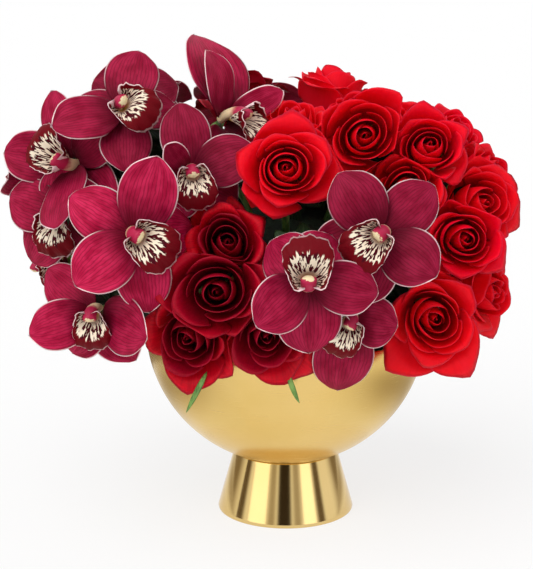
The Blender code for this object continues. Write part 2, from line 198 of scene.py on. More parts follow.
ORCHIDS = (
    OrchidSpec(
        (-95, -121, 223), 2, 14, -33, 1.00, turns=(0, 2, 4, -8, 0), trims=(1.02, 1, 1, 0.72, 1),
        leans=(0.05, 0, -0.1, -0.4, 0.1), shade=0.1,
    ),
    OrchidSpec(
        (-106, -62, 293), -8, 34, -25, 0.95, turns=(14, -20, -10, 0, 0),
        trims=(1, 0.98, 0.9, 0.7, 0.95), leans=(-0.2, 0.1, 0, -0.2, 0.1),
        breadths=(1, 0.95, 1, 1, 1.0), shade=0.55,
    ),
    OrchidSpec(
        (-142, -48, 260), -26, 8, 146, 0.98, turns=(0, 0, 24, -20, 38),
        trims=(1, 0.9, 1.05, 0.98, 0.95), leans=(0, 0, 0.1, 0.1, 0.50),
        breadths=(1, 0.9, 0.8, 1, 1.0), shade=0.45,
    ),
    OrchidSpec(
        (-151, -64, 226), -24, 6, -82, 0.95, trims=(0.7, 1, 1.02, 1, 0.8), sink=0.010,
        shade=0.35,
    ),
    OrchidSpec(
        (-123, -98, 169), -12, 6, -84, 0.90, turns=(56, 34, 10, -24, -40),
        trims=(1.12, 0.92, 0.8, 0.95, 1.05), leans=(-0.2, 0.45, -0.1, -0.1, 0.5),
        breadths=(1, 0.95, 1, 1, 1.1), lip_share=0.9, shade=0.25,
    ),
    OrchidSpec(
        (-62, -88, 256), 4, 20, -80, 0.90, turns=(-4, -24, 0, 0, -10),
        trims=(1.05, 0.50, 0.7, 0.75, 0.95), leans=(0, 0.8, -0.2, -0.2, 0.1),
        breadths=(1.05, 0.55, 1, 1, 1), lip_share=0.95, shade=0.75,
    ),
    OrchidSpec(
        (-43, -43, 285), 52, 24, -74, 1.00, turns=(-8, -97, 0, -30, -22),
        trims=(0.98, 1.45, 1, 1, 0.72), leans=(0.25, -0.2, 0, 0, 0.3),
        breadths=(0.9, 1.42, 1, 1, 0.55), shade=0.2,
    ),
    OrchidSpec(
        (11, -141, 201), 2, 2, 92, 1.00, turns=(2, 8, 8, -8, 22),
        trims=(1.0, 0.92, 0.58, 0.58, 0.88), leans=(-0.05, 0.10, -0.35, -0.35, 0.15),
        breadths=(1.18, 0.9, 1, 1, 0.95), shade=0.5,
    ),
    OrchidSpec(
        (57, -125, 224), -2, 16, 222, 0.98, turns=(0, 10, 19, -18, -10),
        trims=(0.93, 0.95, 0.85, 0.92, 0.90), leans=(0, 0, -0.3, -0.2, 0.05), shade=0.65,
    ),
    OrchidSpec(
        (38, -114, 170), 4, 0, 238, 0.90, turns=(0, 0, 10, -21, 2),
        trims=(0.8, 0.8, 0.8, 1.3, 0.70), leans=(-0.3, -0.3, 0, 0.0, 0.1),
        breadths=(1, 1, 1, 1.25, 1), lip_share=0.95, shade=0.5,
    ),
    OrchidSpec(
        (-104, -6, 296), -8, 35, -90, 0.95, trims=(0.62, 0.66, 0.8, 0.8, 0.66), lip_share=0.8,
        shade=0.8,
    ),
    back_orchid(211, -8, -90, 0.95),
    back_orchid(
        268, -8, -70, 0.95, trims=(0.85, 0.85, 0.85, 0.85, 0.85), lip_share=0.7, sink=0.024,
    ),
    back_orchid(175, 16, -100, 0.95, trims=(0.8, 1, 1, 1, 1), shade=0.2),
    back_orchid(258, 20, -110, 1.00, trims=(0.9, 0.95, 1, 1, 0.95)),
    back_orchid(188, 42, -80, 0.95, trims=(0.9, 1, 0.95, 1, 1), shade=0.3),
    back_orchid(228, 44, -75, 1.00, trims=(0.70, 0.85, 1, 1, 0.85)),
)


# ---------------------------------------------------------------------------- mesh tools
@dataclass
class MeshData:
    """Points, faces and per-point values of one mesh, kept as arrays."""

    points: np.ndarray
    quads: np.ndarray
    triangles: np.ndarray
    values: dict[str, np.ndarray] = field(default_factory=dict)

    @staticmethod
    def joined(parts: Sequence["MeshData"]) -> "MeshData":
        """Put several meshes into one, keeping every value that any of them has.

        Args:
            parts: the meshes.

        Returns:
            One mesh; a value that a part lacks is 0 there.
        """
        names = sorted({name for part in parts for name in part.values})
        shifts = np.cumsum([0] + [len(part.points) for part in parts[:-1]])
        values = {}
        for name in names:
            columns = [part.values.get(name, np.zeros(len(part.points))) for part in parts]
            values[name] = np.concatenate(columns)
        return MeshData(
            np.concatenate([part.points for part in parts]),
            np.concatenate([part.quads + shift for part, shift in zip(parts, shifts)]),
            np.concatenate([part.triangles + shift for part, shift in zip(parts, shifts)]),
            values,
        )

    def publish(self, name: str, material: bpy.types.Material) -> bpy.types.Object:
        """Write the arrays into a smooth-shaded object at the origin.

        Args:
            name: name of the object and of its mesh.
            material: its one material.

        Returns:
            The new object, linked to the scene.
        """
        mesh = bpy.data.meshes.new(name)
        mesh.vertices.add(len(self.points))
        mesh.vertices.foreach_set("co", self.points.astype(np.float32).ravel())
        corners = np.concatenate([self.quads.ravel(), self.triangles.ravel()]).astype(np.int32)
        starts = np.concatenate([
            np.arange(len(self.quads)) * 4,
            len(self.quads) * 4 + np.arange(len(self.triangles)) * 3,
        ]).astype(np.int32)
        mesh.loops.add(len(corners))
        mesh.loops.foreach_set("vertex_index", corners)
        mesh.polygons.add(len(starts))
        mesh.polygons.foreach_set("loop_start", starts)
        mesh.polygons.foreach_set("use_smooth", np.ones(len(starts), dtype=bool))
        mesh.update(calc_edges=True)
        for key, column in self.values.items():
            attribute = mesh.attributes.new(key, "FLOAT", "POINT")
            attribute.data.foreach_set("value", column.astype(np.float32))
        mesh.validate()
        mesh.materials.append(material)
        piece = bpy.data.objects.new(name, mesh)
        bpy.context.scene.collection.objects.link(piece)
        return piece


NO_TRIANGLES = np.zeros((0, 3), dtype=np.int64)


def closed_sheets(front: np.ndarray, thickness: float, values: dict[str, np.ndarray]) -> MeshData:
    """Thin closed shells from a batch of surface grids.

    The back is the front moved inwards along its normal by the thickness.  Both share the
    points of the border, so each shell is closed and thins out to a sharp rim.

    Args:
        front: points, shaped (sheets, across, along, 3).
        thickness: metres.
        values: per-point values, each shaped (sheets, across, along).

    Returns:
        One mesh that holds every shell.
    """
    sheets, wide, long, _ = front.shape
    normal = np.cross(np.gradient(front, axis=1), np.gradient(front, axis=2))
    normal /= np.linalg.norm(normal, axis=-1, keepdims=True) + 1e-12
    back = (front - normal * thickness)[:, 1:-1, 1:-1]
    points = np.concatenate([front.reshape(sheets, -1, 3), back.reshape(sheets, -1, 3)], axis=1)
    ahead = np.arange(wide * long).reshape(wide, long)
    behind = ahead.copy()
    behind[1:-1, 1:-1] = wide * long + np.arange((wide - 2) * (long - 2)).reshape(wide - 2, long - 2)
    outer = [ahead[:-1, :-1], ahead[1:, :-1], ahead[1:, 1:], ahead[:-1, 1:]]
    inner = [behind[:-1, :-1], behind[:-1, 1:], behind[1:, 1:], behind[1:, :-1]]
    quads = np.concatenate([np.stack(outer, -1).reshape(-1, 4), np.stack(inner, -1).reshape(-1, 4)])
    quads = (quads[None] + (np.arange(sheets) * points.shape[1])[:, None, None]).reshape(-1, 4)
    columns = {}
    for name, grid in values.items():
        both = [grid.reshape(sheets, -1), grid[:, 1:-1, 1:-1].reshape(sheets, -1)]
        columns[name] = np.concatenate(both, axis=1).ravel()
    return MeshData(points.reshape(-1, 3), quads, NO_TRIANGLES, columns)


def wrapped(
    rings: np.ndarray, start: np.ndarray, end: np.ndarray, values: dict[str, np.ndarray],
) -> MeshData:
    """Closed body from rings of points, with a pole at each end.

    Args:
        rings: points, shaped (rings, round, 3), turning anticlockwise seen from the end.
        start: pole before the first ring.
        end: pole after the last ring.
        values: one number per ring, each shaped (rings,).

    Returns:
        The closed mesh.
    """
    count, sides, _ = rings.shape
    grid = np.arange(count * sides).reshape(count, sides)
    turned = np.roll(grid, -1, axis=1)
    quads = np.stack([grid[:-1], turned[:-1], turned[1:], grid[1:]], -1).reshape(-1, 4)
    first, last = count * sides, count * sides + 1
    poles = np.full(sides, first), np.full(sides, last)
    fans = np.concatenate([
        np.stack([poles[0], turned[0], grid[0]], -1),
        np.stack([poles[1], grid[-1], turned[-1]], -1),
    ])
    points = np.concatenate([rings.reshape(-1, 3), start[None], end[None]])
    columns = {}
    for name, column in values.items():
        columns[name] = np.concatenate([np.repeat(column, sides), column[[0, -1]]])
    return MeshData(points, quads, fans, columns)


def lathe(profile: np.ndarray, sides: int) -> MeshData:
    """Surface of revolution about the Z axis; the profile's two ends lie on the axis.

    Args:
        profile: (radius, height) rows that run from the lower outside to the end.
        sides: points round each ring.

    Returns:
        The closed mesh.
    """
    angles = FULL_TURN * np.arange(sides) / sides
    body = profile[1:-1]
    rings = np.stack([
        body[:, :1] * np.cos(angles),
        body[:, :1] * np.sin(angles),
        np.broadcast_to(body[:, 1:], (len(body), sides)),
    ], -1)
    poles = [np.array([0.0, 0.0, profile[index, 1]]) for index in (0, -1)]
    return wrapped(rings, poles[0], poles[1], {})


def swept_tube(path: np.ndarray, radii: np.ndarray, sides: int) -> MeshData:
    """Round tube along a path, each ring turned from the one before by the least rotation.

    Args:
        path: stations, shaped (stations, 3).
        radii: radius at each station.
        sides: points round each ring.

    Returns:
        The closed mesh, with the share of the path as its value `along`.
    """
    heading = np.gradient(path, axis=0)
    heading /= np.linalg.norm(heading, axis=1, keepdims=True)
    spare = np.eye(3)[0 if abs(heading[0, 0]) < 0.8 else 1]
    side = np.cross(heading[0], spare)
    sideways = []
    for ahead in heading:
        side = side - ahead * side.dot(ahead)
        side = side / np.linalg.norm(side)
        sideways.append(side)
    sideways = np.array(sideways)
    other = np.cross(heading, sideways)
    angles = FULL_TURN * np.arange(sides) / sides
    spokes = sideways[:, None] * np.cos(angles)[:, None] + other[:, None] * np.sin(angles)[:, None]
    rings = path[:, None] + spokes * radii[:, None, None]
    along = np.linspace(0.0, 1.0, len(path))
    return wrapped(rings, path[0], path[-1], {"along": along})


def bezier(points: Sequence[np.ndarray], steps: np.ndarray) -> np.ndarray:
    """Cubic Bezier curve.

    Args:
        points: its four control values, which broadcast together.
        steps: parameters from 0 to 1.

    Returns:
        The curve at each parameter.
    """
    one, two, three, four = points
    rest = 1.0 - steps
    ends = rest ** 3 * one + steps ** 3 * four
    return ends + 3 * rest ** 2 * steps * two + 3 * rest * steps ** 2 * three


def face_axes(azimuth: float, elevation: float) -> np.ndarray:
    """Directions of a face.

    Args:
        azimuth: degrees that it is turned to the right.
        elevation: degrees that it is turned up.

    Returns:
        Rows with its right, up and outward directions.
    """
    turn, rise = math.radians(azimuth), math.radians(elevation)
    outward = np.array([
        math.sin(turn) * math.cos(rise),
        -math.cos(turn) * math.cos(rise),
        math.sin(rise),
    ])
    right = np.array([math.cos(turn), math.sin(turn), 0.0])
    return np.stack([right, np.cross(outward, right), outward])


def ramped(value: np.ndarray, low: float, high: float) -> np.ndarray:
    """Smooth step from 0 at `low` to 1 at `high`."""
    share = np.clip((value - low) / (high - low), 0.0, 1.0)
    return share * share * (3.0 - 2.0 * share)


# ---------------------------------------------------------------------------- shader tools
Value = Union[float, "Wire"]


class Wire:
    """A node output that takes part in arithmetic; each operation adds one Math node."""

    def __init__(self, graph: "Graph", socket: bpy.types.NodeSocket) -> None:
        """Keep the graph and the socket."""
        self.graph = graph
        self.socket = socket

    def _math(self, operation: str, *values: Value) -> "Wire":
        """One Math node."""
        settings = {"operation": operation}
        return self.graph.node("ShaderNodeMath", settings, dict(enumerate(values)))

    def __add__(self, other: Value) -> "Wire":
        """Sum."""
        return self._math("ADD", self, other)

    __radd__ = __add__

    def __mul__(self, other: Value) -> "Wire":
        """Product."""
        return self._math("MULTIPLY", self, other)

    __rmul__ = __mul__

    def __sub__(self, other: Value) -> "Wire":
        """Difference."""
        return self._math("SUBTRACT", self, other)

    def __rsub__(self, other: Value) -> "Wire":
        """Difference from a number."""
        return self._math("SUBTRACT", other, self)

    def __abs__(self) -> "Wire":
        """Magnitude."""
        return self._math("ABSOLUTE", self)

    def larger(self, other: Value) -> "Wire":
        """The larger of two values."""
        return self._math("MAXIMUM", self, other)

    def step(self, low: float, high: float, start: float = 0.0, stop: float = 1.0) -> "Wire":
        """Smooth step.

        Args:
            low: value of this wire at which the step begins.
            high: value at which it ends.
            start: result up to `low`.
            stop: result from `high` on.

        Returns:
            The step.
        """
        inputs = {"Value": self, "From Min": low, "From Max": high, "To Min": start, "To Max": stop}
        settings = {"interpolation_type": "SMOOTHSTEP"}
        return self.graph.node("ShaderNodeMapRange", settings, inputs)


class Graph:
    """The node tree of one material, or of the world."""

    def __init__(self, name: str, world: bool = False) -> None:
        """Start a material, or a world, with an empty tree.

        Args:
            name: name of the material or world.
            world: whether to make a world.
        """
        self.owner = (bpy.data.worlds if world else bpy.data.materials).new(name)
        self.owner.use_nodes = True
        self.tree = self.owner.node_tree
        self.tree.nodes.clear()

    def node(
        self,
        kind: str,
        settings: dict[str, object],
        inputs: dict[Union[int, str], object],
        output: Union[int, str] = 0,
    ) -> Wire:
        """Any node.

        Args:
            kind: Blender's node type.
            settings: properties, set first.
            inputs: number, colour or Wire for each socket, by name or index.
            output: the output to return, by name or index.

        Returns:
            The chosen output; an output node has none.
        """
        made = self.tree.nodes.new(kind)
        for key, value in settings.items():
            setattr(made, key, value)
        for key, value in inputs.items():
            if isinstance(value, Wire):
                self.tree.links.new(value.socket, made.inputs[key])
            elif isinstance(value, tuple) and made.inputs[key].type == "RGBA":
                made.inputs[key].default_value = (*value, 1.0)
            else:
                made.inputs[key].default_value = value
        return Wire(self, made.outputs[output] if made.outputs else None)

    def attribute(self, name: str) -> Wire:
        """A per-point value of the mesh."""
        return self.node("ShaderNodeAttribute", {"attribute_name": name}, {}, "Fac")

    def place(self) -> Wire:
        """Object coordinates."""
        return self.node("ShaderNodeTexCoord", {}, {}, "Object")

    def seen(self) -> Wire:
        """1 for rays from the camera, from mirrors and from glass, and 0 for other light."""
        kinds = ("Is Camera Ray", "Is Glossy Ray", "Is Transmission Ray")
        camera, mirror, glass = (self.node("ShaderNodeLightPath", {}, {}, kind) for kind in kinds)
        return camera.larger(mirror.larger(glass))

    def vector(self, x: Value, y: Value, z: Value) -> Wire:
        """Three values as one vector."""
        return self.node("ShaderNodeCombineXYZ", {}, {0: x, 1: y, 2: z})

    def stretched(self, vector: Wire, x: float, y: float, z: float) -> Wire:
        """A vector scaled along each axis."""
        settings = {"operation": "MULTIPLY"}
        return self.node("ShaderNodeVectorMath", settings, {0: vector, 1: (x, y, z)})

    def noise(self, vector: Wire, scale: float, detail: float = 2.0, roughness: float = 0.5) -> Wire:
        """Noise between 0 and 1."""
        inputs = {"Vector": vector, "Scale": scale, "Detail": detail, "Roughness": roughness}
        return self.node("ShaderNodeTexNoise", {}, inputs, 0)

    def blend(self, share: Value, first: Union[Colour, Wire], second: Union[Colour, Wire]) -> Wire:
        """Mix of two colours."""
        inputs = {0: share, 6: first, 7: second}
        return self.node("ShaderNodeMix", {"data_type": "RGBA"}, inputs, 2)

    def bump(self, height: Wire, strength: float, distance: float) -> Wire:
        """Normal bent by a height."""
        inputs = {"Height": height, "Strength": strength, "Distance": distance}
        return self.node("ShaderNodeBump", {}, inputs)

    def sine(self, phase: Wire) -> Wire:
        """Sine of a value."""
        return self.node("ShaderNodeMath", {"operation": "SINE"}, {0: phase})

    def principled(self, **inputs: object) -> Wire:
        """Principled shader whose sockets are named with underscores for spaces."""
        named = {key.replace("_", " "): value for key, value in inputs.items()}
        return self.node("ShaderNodeBsdfPrincipled", {}, named)

    def finished(self, shader: Wire) -> bpy.types.Material:
        """Send a shader to the output and return the material."""
        self.node("ShaderNodeOutputMaterial", {}, {"Surface": shader})
        return self.owner

    def surface(self, **inputs: object) -> bpy.types.Material:
        """Material with one principled shader, its sockets named as for `principled`."""
        return self.finished(self.principled(**inputs))


@dataclass(frozen=True)
class PetalFinish:
    """Rose petals: painted shade at the base and heart, brighter body, painted highlight on the rim,
    fine streaks along the petal.
    """

    name: str
    dark_and_painted_shade: Colour
    body: Colour
    warm: Colour
    # Painted highlight colour of the petal edges, also used for the random mottle.
    rim: Colour
    blushed: Colour
    roughness: float
    gloss: float
    glow: float

    def build(self) -> bpy.types.Material:
        """Make the material."""
        graph = Graph(self.name)
        along, across = graph.attribute("along"), graph.attribute("across")
        tone, rank = graph.attribute("tone"), graph.attribute("rank")
        streaks = graph.noise(graph.vector(across * 9.0, along * 1.6, tone * 9.0), 2.4, 3.0, 0.6)
        mottle = graph.noise(graph.place(), 70.0, 2.0)
        colour = graph.blend(graph.attribute("bloom"), self.body, self.warm)
        colour = graph.blend(graph.attribute("blush"), colour, self.blushed)
        # Painted shade: each petal darkens towards its base, low in the heart of the bloom.
        colour = graph.blend(along.step(0.10, 0.55), self.dark_and_painted_shade, colour)
        # Painted shade: the innermost petals, in the heart of the bloom, are darker.
        colour = graph.blend(rank.step(0.0, 0.35, 0.15, 0.0), colour, self.dark_and_painted_shade)
        colour = graph.blend(streaks.step(0.35, 0.75) * 0.30, colour, self.dark_and_painted_shade)
        colour = graph.blend(mottle.step(0.45, 0.8) * 0.20, colour, self.rim)
        colour = graph.blend(tone * 0.25, colour, self.dark_and_painted_shade)
        # Painted highlight: the petal edges turn to the pale rim colour.
        edge = graph.attribute("brink").step(0.0, 0.0014, 1.0, 0.0)
        colour = graph.blend(edge * 0.7, colour, self.rim)
        height = streaks * 0.7 + mottle * 0.3
        return graph.surface(
            Base_Color=colour,
            Roughness=self.roughness + 0.12 * (streaks - 0.5),
            Normal=graph.bump(height, 0.35, 0.0006),
            Subsurface_Weight=self.glow,
            Subsurface_Radius=(0.006, 0.0003, 0.0004),
            Subsurface_Scale=0.5,
            Specular_IOR_Level=self.gloss,
        )


@dataclass(frozen=True)
class TepalFinish:
    """Orchid tepals: burgundy with painted highlight and shade, fine darker veins that follow the
    tepal, a pale margin.
    """

    name: str
    dark_and_painted_shade: Colour
    body: Colour
    painted_highlight: Colour
    margin: Colour
    vein_count: float = 50.0

    def build(self) -> bpy.types.Material:
        """Make the material."""
        graph = Graph(self.name)
        along, across = graph.attribute("along"), graph.attribute("across")
        tone = graph.attribute("tone")
        waver = graph.noise(graph.vector(across * 2.0, along * 2.5, tone * 9.0), 3.0, 2.0)
        phase = (across + (waver - 0.5) * 0.12) * self.vein_count
        veins = graph.sine(phase).step(0.35, 1.0)
        # Painted highlight: random patches of a lighter copy of the tepal colour; they also vary the
        # roughness.
        highlight_patches = graph.noise(graph.vector(across * 1.5, along * 2.2, tone * 7.0), 1.8, 3.0)
        colour = graph.blend(highlight_patches.step(0.3, 0.7), self.body, self.painted_highlight)
        # Painted shade: each bloom's `shade` darkens all its tepals.
        colour = graph.blend(graph.attribute("shade") * 0.75, colour, self.dark_and_painted_shade)
        colour = graph.blend(veins * 0.42, colour, self.dark_and_painted_shade)
        # Painted shade: each tepal darkens towards its base at the hub.
        colour = graph.blend(along.step(0.0, 0.55, 0.85, 0.0), colour, self.dark_and_painted_shade)
        colour = graph.blend(tone * 0.25, colour, self.dark_and_painted_shade)
        margin = graph.attribute("brink").step(0.0003, 0.0009, 1.0, 0.0)
        colour = graph.blend(margin * along.step(0.2, 0.4), colour, self.margin)
        grain = graph.noise(graph.place(), 900.0, 2.0)
        return graph.surface(
            Base_Color=colour,
            Roughness=0.42 + 0.10 * highlight_patches,
            Normal=graph.bump(veins * -0.6 + grain * 0.25, 0.35, 0.0005),
            Subsurface_Weight=0.08,
            Subsurface_Radius=(0.003, 0.0004, 0.0008),
            Subsurface_Scale=0.5,
            Specular_IOR_Level=0.07,
        )


@dataclass(frozen=True)
class LipFinish:
    """Orchid lip: cream throat with maroon dashes, dark red border, pale frilled margin."""

    name: str
    cream: Colour
    gold: Colour
    dash: Colour
    border: Colour
    margin: Colour

    def build(self) -> bpy.types.Material:
        """Make the material."""
        graph = Graph(self.name)
        reach, bearing = graph.attribute("along"), graph.attribute("across")
        tone = graph.attribute("tone")
        split = graph.vector(bearing * 13.0, reach * 3.2, tone * 11.0)
        dashes = graph.noise(split, 1.6, 1.5, 0.5).step(0.46, 0.53)
        sides = abs(bearing).step(0.25, 0.75)
        zone = reach.step(0.16, 0.32) * (0.60 + 0.40 * sides)
        colour = graph.blend(reach.step(0.05, 0.30), self.gold, self.cream)
        colour = graph.blend((dashes * zone).step(0.3, 0.5), colour, self.dash)
        ragged = graph.noise(graph.vector(bearing * 9.0, tone * 7.0, 0.0), 2.0, 2.0)
        start = reach + (ragged - 0.5) * 0.42 - 0.03 * sides
        colour = graph.blend(start.step(0.66, 0.71), colour, self.border)
        brink = graph.attribute("brink").step(0.0005, 0.0011, 1.0, 0.0)
        colour = graph.blend(brink * reach.step(0.4, 0.6), colour, self.margin)
        grain = graph.noise(graph.place(), 700.0, 2.0)
        return graph.surface(
            Base_Color=colour,
            Roughness=0.45 + 0.1 * ragged,
            Normal=graph.bump(dashes * 0.5 + grain * 0.3, 0.3, 0.0005),
            Specular_IOR_Level=0.07,
            Subsurface_Weight=0.06,
            Subsurface_Radius=(0.003, 0.001, 0.001),
            Subsurface_Scale=0.5,
        )


@dataclass(frozen=True)
class ColumnFinish:
    """Orchid column: cream at its foot, magenta hood, pale cap at its tip."""

    name: str
    cream: Colour
    hood: Colour
    cap: Colour

    def build(self) -> bpy.types.Material:
        """Make the material."""
        graph = Graph(self.name)
        along = graph.attribute("along")
        speckle = graph.noise(graph.place(), 420.0, 2.0)
        place = along + (speckle - 0.5) * 0.12
        colour = graph.blend(place.step(0.40, 0.60), self.cream, self.hood)
        colour = graph.blend(place.step(0.945, 0.965), colour, self.cap)
        return graph.surface(
            Base_Color=colour,
            Roughness=0.35 + 0.1 * speckle,
            Normal=graph.bump(speckle, 0.2, 0.0004),
            Subsurface_Weight=0.1,
            Subsurface_Radius=(0.003, 0.002, 0.001),
            Subsurface_Scale=0.5,
            Specular_IOR_Level=0.2,
        )


@dataclass(frozen=True)
class StemFinish:
    """Green stems, calyces and sepals, streaked along their length."""

    name: str
    dark: Colour
    light: Colour

    def build(self) -> bpy.types.Material:
        """Make the material."""
        graph = Graph(self.name)
        streak = graph.noise(graph.stretched(graph.place(), 1.0, 1.0, 0.35), 260.0, 3.0)
        patches = graph.noise(graph.place(), 45.0, 2.0)
        colour = graph.blend(streak.step(0.3, 0.7), self.dark, self.light)
        colour = graph.blend(patches.step(0.5, 0.8) * 0.5, colour, self.dark)
        return graph.surface(
            Base_Color=colour,
            Roughness=0.45 + 0.15 * patches,
            Normal=graph.bump(streak, 0.3, 0.0005),
        )


@dataclass(frozen=True)
class LeafFinish:
    """Deep green rose leaves with a pale midrib and side veins."""

    name: str
    dark: Colour
    light: Colour
    rib: Colour

    def build(self) -> bpy.types.Material:
        """Make the material."""
        graph = Graph(self.name)
        along, across = graph.attribute("along"), graph.attribute("across")
        middle = abs(across)
        veins = graph.sine((along * 1.2 - middle * 0.35) * 55.0).step(0.6, 1.0)
        mottle = graph.noise(graph.place(), 90.0, 3.0)
        colour = graph.blend(mottle.step(0.3, 0.7), self.dark, self.light)
        colour = graph.blend(graph.attribute("tone") * 0.5, colour, self.dark)
        colour = graph.blend(veins * 0.3, colour, self.rib)
        colour = graph.blend(middle.step(0.03, 0.10, 0.7, 0.0), colour, self.rib)
        return graph.surface(
            Base_Color=colour,
            Roughness=0.40 + 0.15 * mottle,
            Normal=graph.bump(veins * -0.5 + mottle * 0.3, 0.4, 0.0006),
            Specular_IOR_Level=0.15,
        )


@dataclass(frozen=True)
class FoamFinish:
    """Wet floral foam: dark, crumbly, almost black in the gaps between blooms."""

    name: str
    dark: Colour
    light: Colour

    def build(self) -> bpy.types.Material:
        """Make the material."""
        graph = Graph(self.name)
        crumbs = graph.noise(graph.place(), 380.0, 5.0, 0.65)
        lumps = graph.noise(graph.place(), 40.0, 2.0)
        colour = graph.blend((crumbs * lumps * 2.0).step(0.3, 0.8), self.dark, self.light)
        return graph.surface(
            Base_Color=colour,
            Roughness=0.85 + 0.1 * crumbs,
            Normal=graph.bump(crumbs, 0.8, 0.001),
        )


@dataclass(frozen=True)
class GoldFinish:
    """Gold metal with faint tone drift and fine lines running round the axis."""

    name: str
    body: Colour
    warm: Colour
    roughness: float
    line_depth: float

    def build(self) -> bpy.types.Material:
        """Make the material."""
        graph = Graph(self.name)
        place = graph.place()
        lines = graph.noise(graph.stretched(place, 14.0, 14.0, 1500.0), 1.0, 4.0, 0.6)
        drift = graph.noise(place, 14.0, 3.0)
        smudge = graph.noise(place, 60.0, 4.0, 0.6)
        colour = graph.blend(drift.step(0.3, 0.7) * 0.5, self.body, self.warm)
        return graph.surface(
            Base_Color=colour,
            Metallic=1.0,
            Roughness=self.roughness + (lines - 0.5) * self.line_depth + (smudge - 0.5) * 0.04,
            Normal=graph.bump(lines, self.line_depth, 0.0002),
        )


@dataclass(frozen=True)
class PadFinish:
    """Dark felt pad."""

    name: str
    dark: Colour
    light: Colour

    def build(self) -> bpy.types.Material:
        """Make the material."""
        graph = Graph(self.name)
        fibres = graph.noise(graph.place(), 1400.0, 5.0, 0.7)
        colour = graph.blend(fibres.step(0.3, 0.7), self.dark, self.light)
        return graph.surface(
            Base_Color=colour,
            Roughness=0.9 + 0.05 * fibres,
            Normal=graph.bump(fibres, 0.6, 0.0004),
        )


# In each petal finish the first colour is the painted shade of the petal bases and heart, also used
# for the real streaks and random tone, and `rim` is the painted highlight of the petal edges.
RED_PETALS = PetalFinish(
    "red_petals", dark_and_painted_shade=(0.70, 0.0005, 0.010), body=(0.86, 0.0009, 0.022), warm=(0.89, 0.005, 0.014),
    rim=(0.98, 0.025, 0.06), blushed=(0.80, 0.001, 0.010), roughness=0.5, gloss=0.07, glow=0.3,
)
DARK_PETALS = PetalFinish(
    "dark_petals", dark_and_painted_shade=(0.13, 0.0003, 0.0045), body=(0.36, 0.001, 0.020), warm=(0.43, 0.001, 0.016),
    rim=(0.55, 0.008, 0.035), blushed=(0.86, 0.001, 0.016), roughness=0.5, gloss=0.12, glow=0.1,
)
# The first colour is the painted shade, also used for the real veins and random tone; the third is the
# painted highlight patched over the tepals.
TEPALS = TepalFinish(
    "orchid_tepals", dark_and_painted_shade=(0.065, 0.0008, 0.008), body=(0.40, 0.002, 0.040),
    painted_highlight=(0.66, 0.020, 0.095), margin=(1.0, 0.72, 0.74),
)
LIPS = LipFinish(
    "orchid_lips", cream=(0.86, 0.74, 0.58), gold=(0.85, 0.50, 0.10), dash=(0.06, 0.001, 0.006),
    border=(0.14, 0.0008, 0.005), margin=(0.90, 0.66, 0.66),
)
COLUMNS = ColumnFinish(
    "orchid_columns", cream=(0.86, 0.66, 0.40), hood=(0.42, 0.012, 0.06), cap=(0.80, 0.66, 0.40),
)
STEMS = StemFinish("green_stems", dark=(0.05, 0.14, 0.02), light=(0.20, 0.38, 0.07))
LEAVES = LeafFinish(
    "rose_leaves", dark=(0.004, 0.009, 0.003), light=(0.012, 0.030, 0.008), rib=(0.03, 0.06, 0.02),
)
FOAM = FoamFinish("wet_foam", dark=(0.006, 0.012, 0.006), light=(0.03, 0.06, 0.025))
BOWL_GOLD = GoldFinish(
    "satin_gold", body=(0.78, 0.53, 0.165), warm=(0.87, 0.63, 0.25), roughness=0.25, line_depth=0.14,
)
FOOT_GOLD = GoldFinish(
    "polished_gold", body=(0.74, 0.52, 0.20), warm=(0.80, 0.60, 0.28), roughness=0.11, line_depth=0.05,
)
PAD_FELT = PadFinish("pad_felt", dark=(0.01, 0.01, 0.01), light=(0.04, 0.04, 0.04))


# ---------------------------------------------------------------------------- pieces
def settle(piece: bpy.types.Object, node: str) -> None:
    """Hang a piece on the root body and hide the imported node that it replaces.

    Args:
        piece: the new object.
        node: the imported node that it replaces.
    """
    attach(piece, "root")
    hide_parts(node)
    LOG.info("%s: %d faces", piece.name, len(piece.data.polygons))


def anchored(node: str, point: np.ndarray, slack: float = 0.004) -> np.ndarray:
    """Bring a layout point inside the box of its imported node, if it strays from it."""
    low, high = (np.array(corner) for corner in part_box(node))
    return np.clip(point, low - slack, high + slack)


def stem_path(base: np.ndarray, outward: np.ndarray, count: int = 14) -> np.ndarray:
    """Smooth path from the foam up to the back of a bloom, leaving the bloom along its axis.

    Args:
        base: back of the bloom.
        outward: direction that the bloom faces.
        count: stations outside the foam.

    Returns:
        The stations, of which the first is inside the foam.
    """
    foam_low, foam_high = (np.array(corner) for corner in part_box("floral_foam"))
    clear, rooted = 0.003, 0.024
    reach = 0.5 * (foam_high[0] - foam_low[0])
    middle = np.array([0.0, 0.0, foam_high[2] - reach])
    towards = (base - middle) / np.linalg.norm(base - middle)
    entry = middle + towards * (reach + clear)
    end = middle + towards * (reach - rooted)
    span = np.linalg.norm(base - entry)
    steps = np.linspace(0.0, 1.0, count)[:, None]
    bend = bezier((entry, entry + towards * span * 0.35, base - outward * span * 0.35, base), steps)
    return np.concatenate([end[None], bend])


LEAF_COUNT = 6


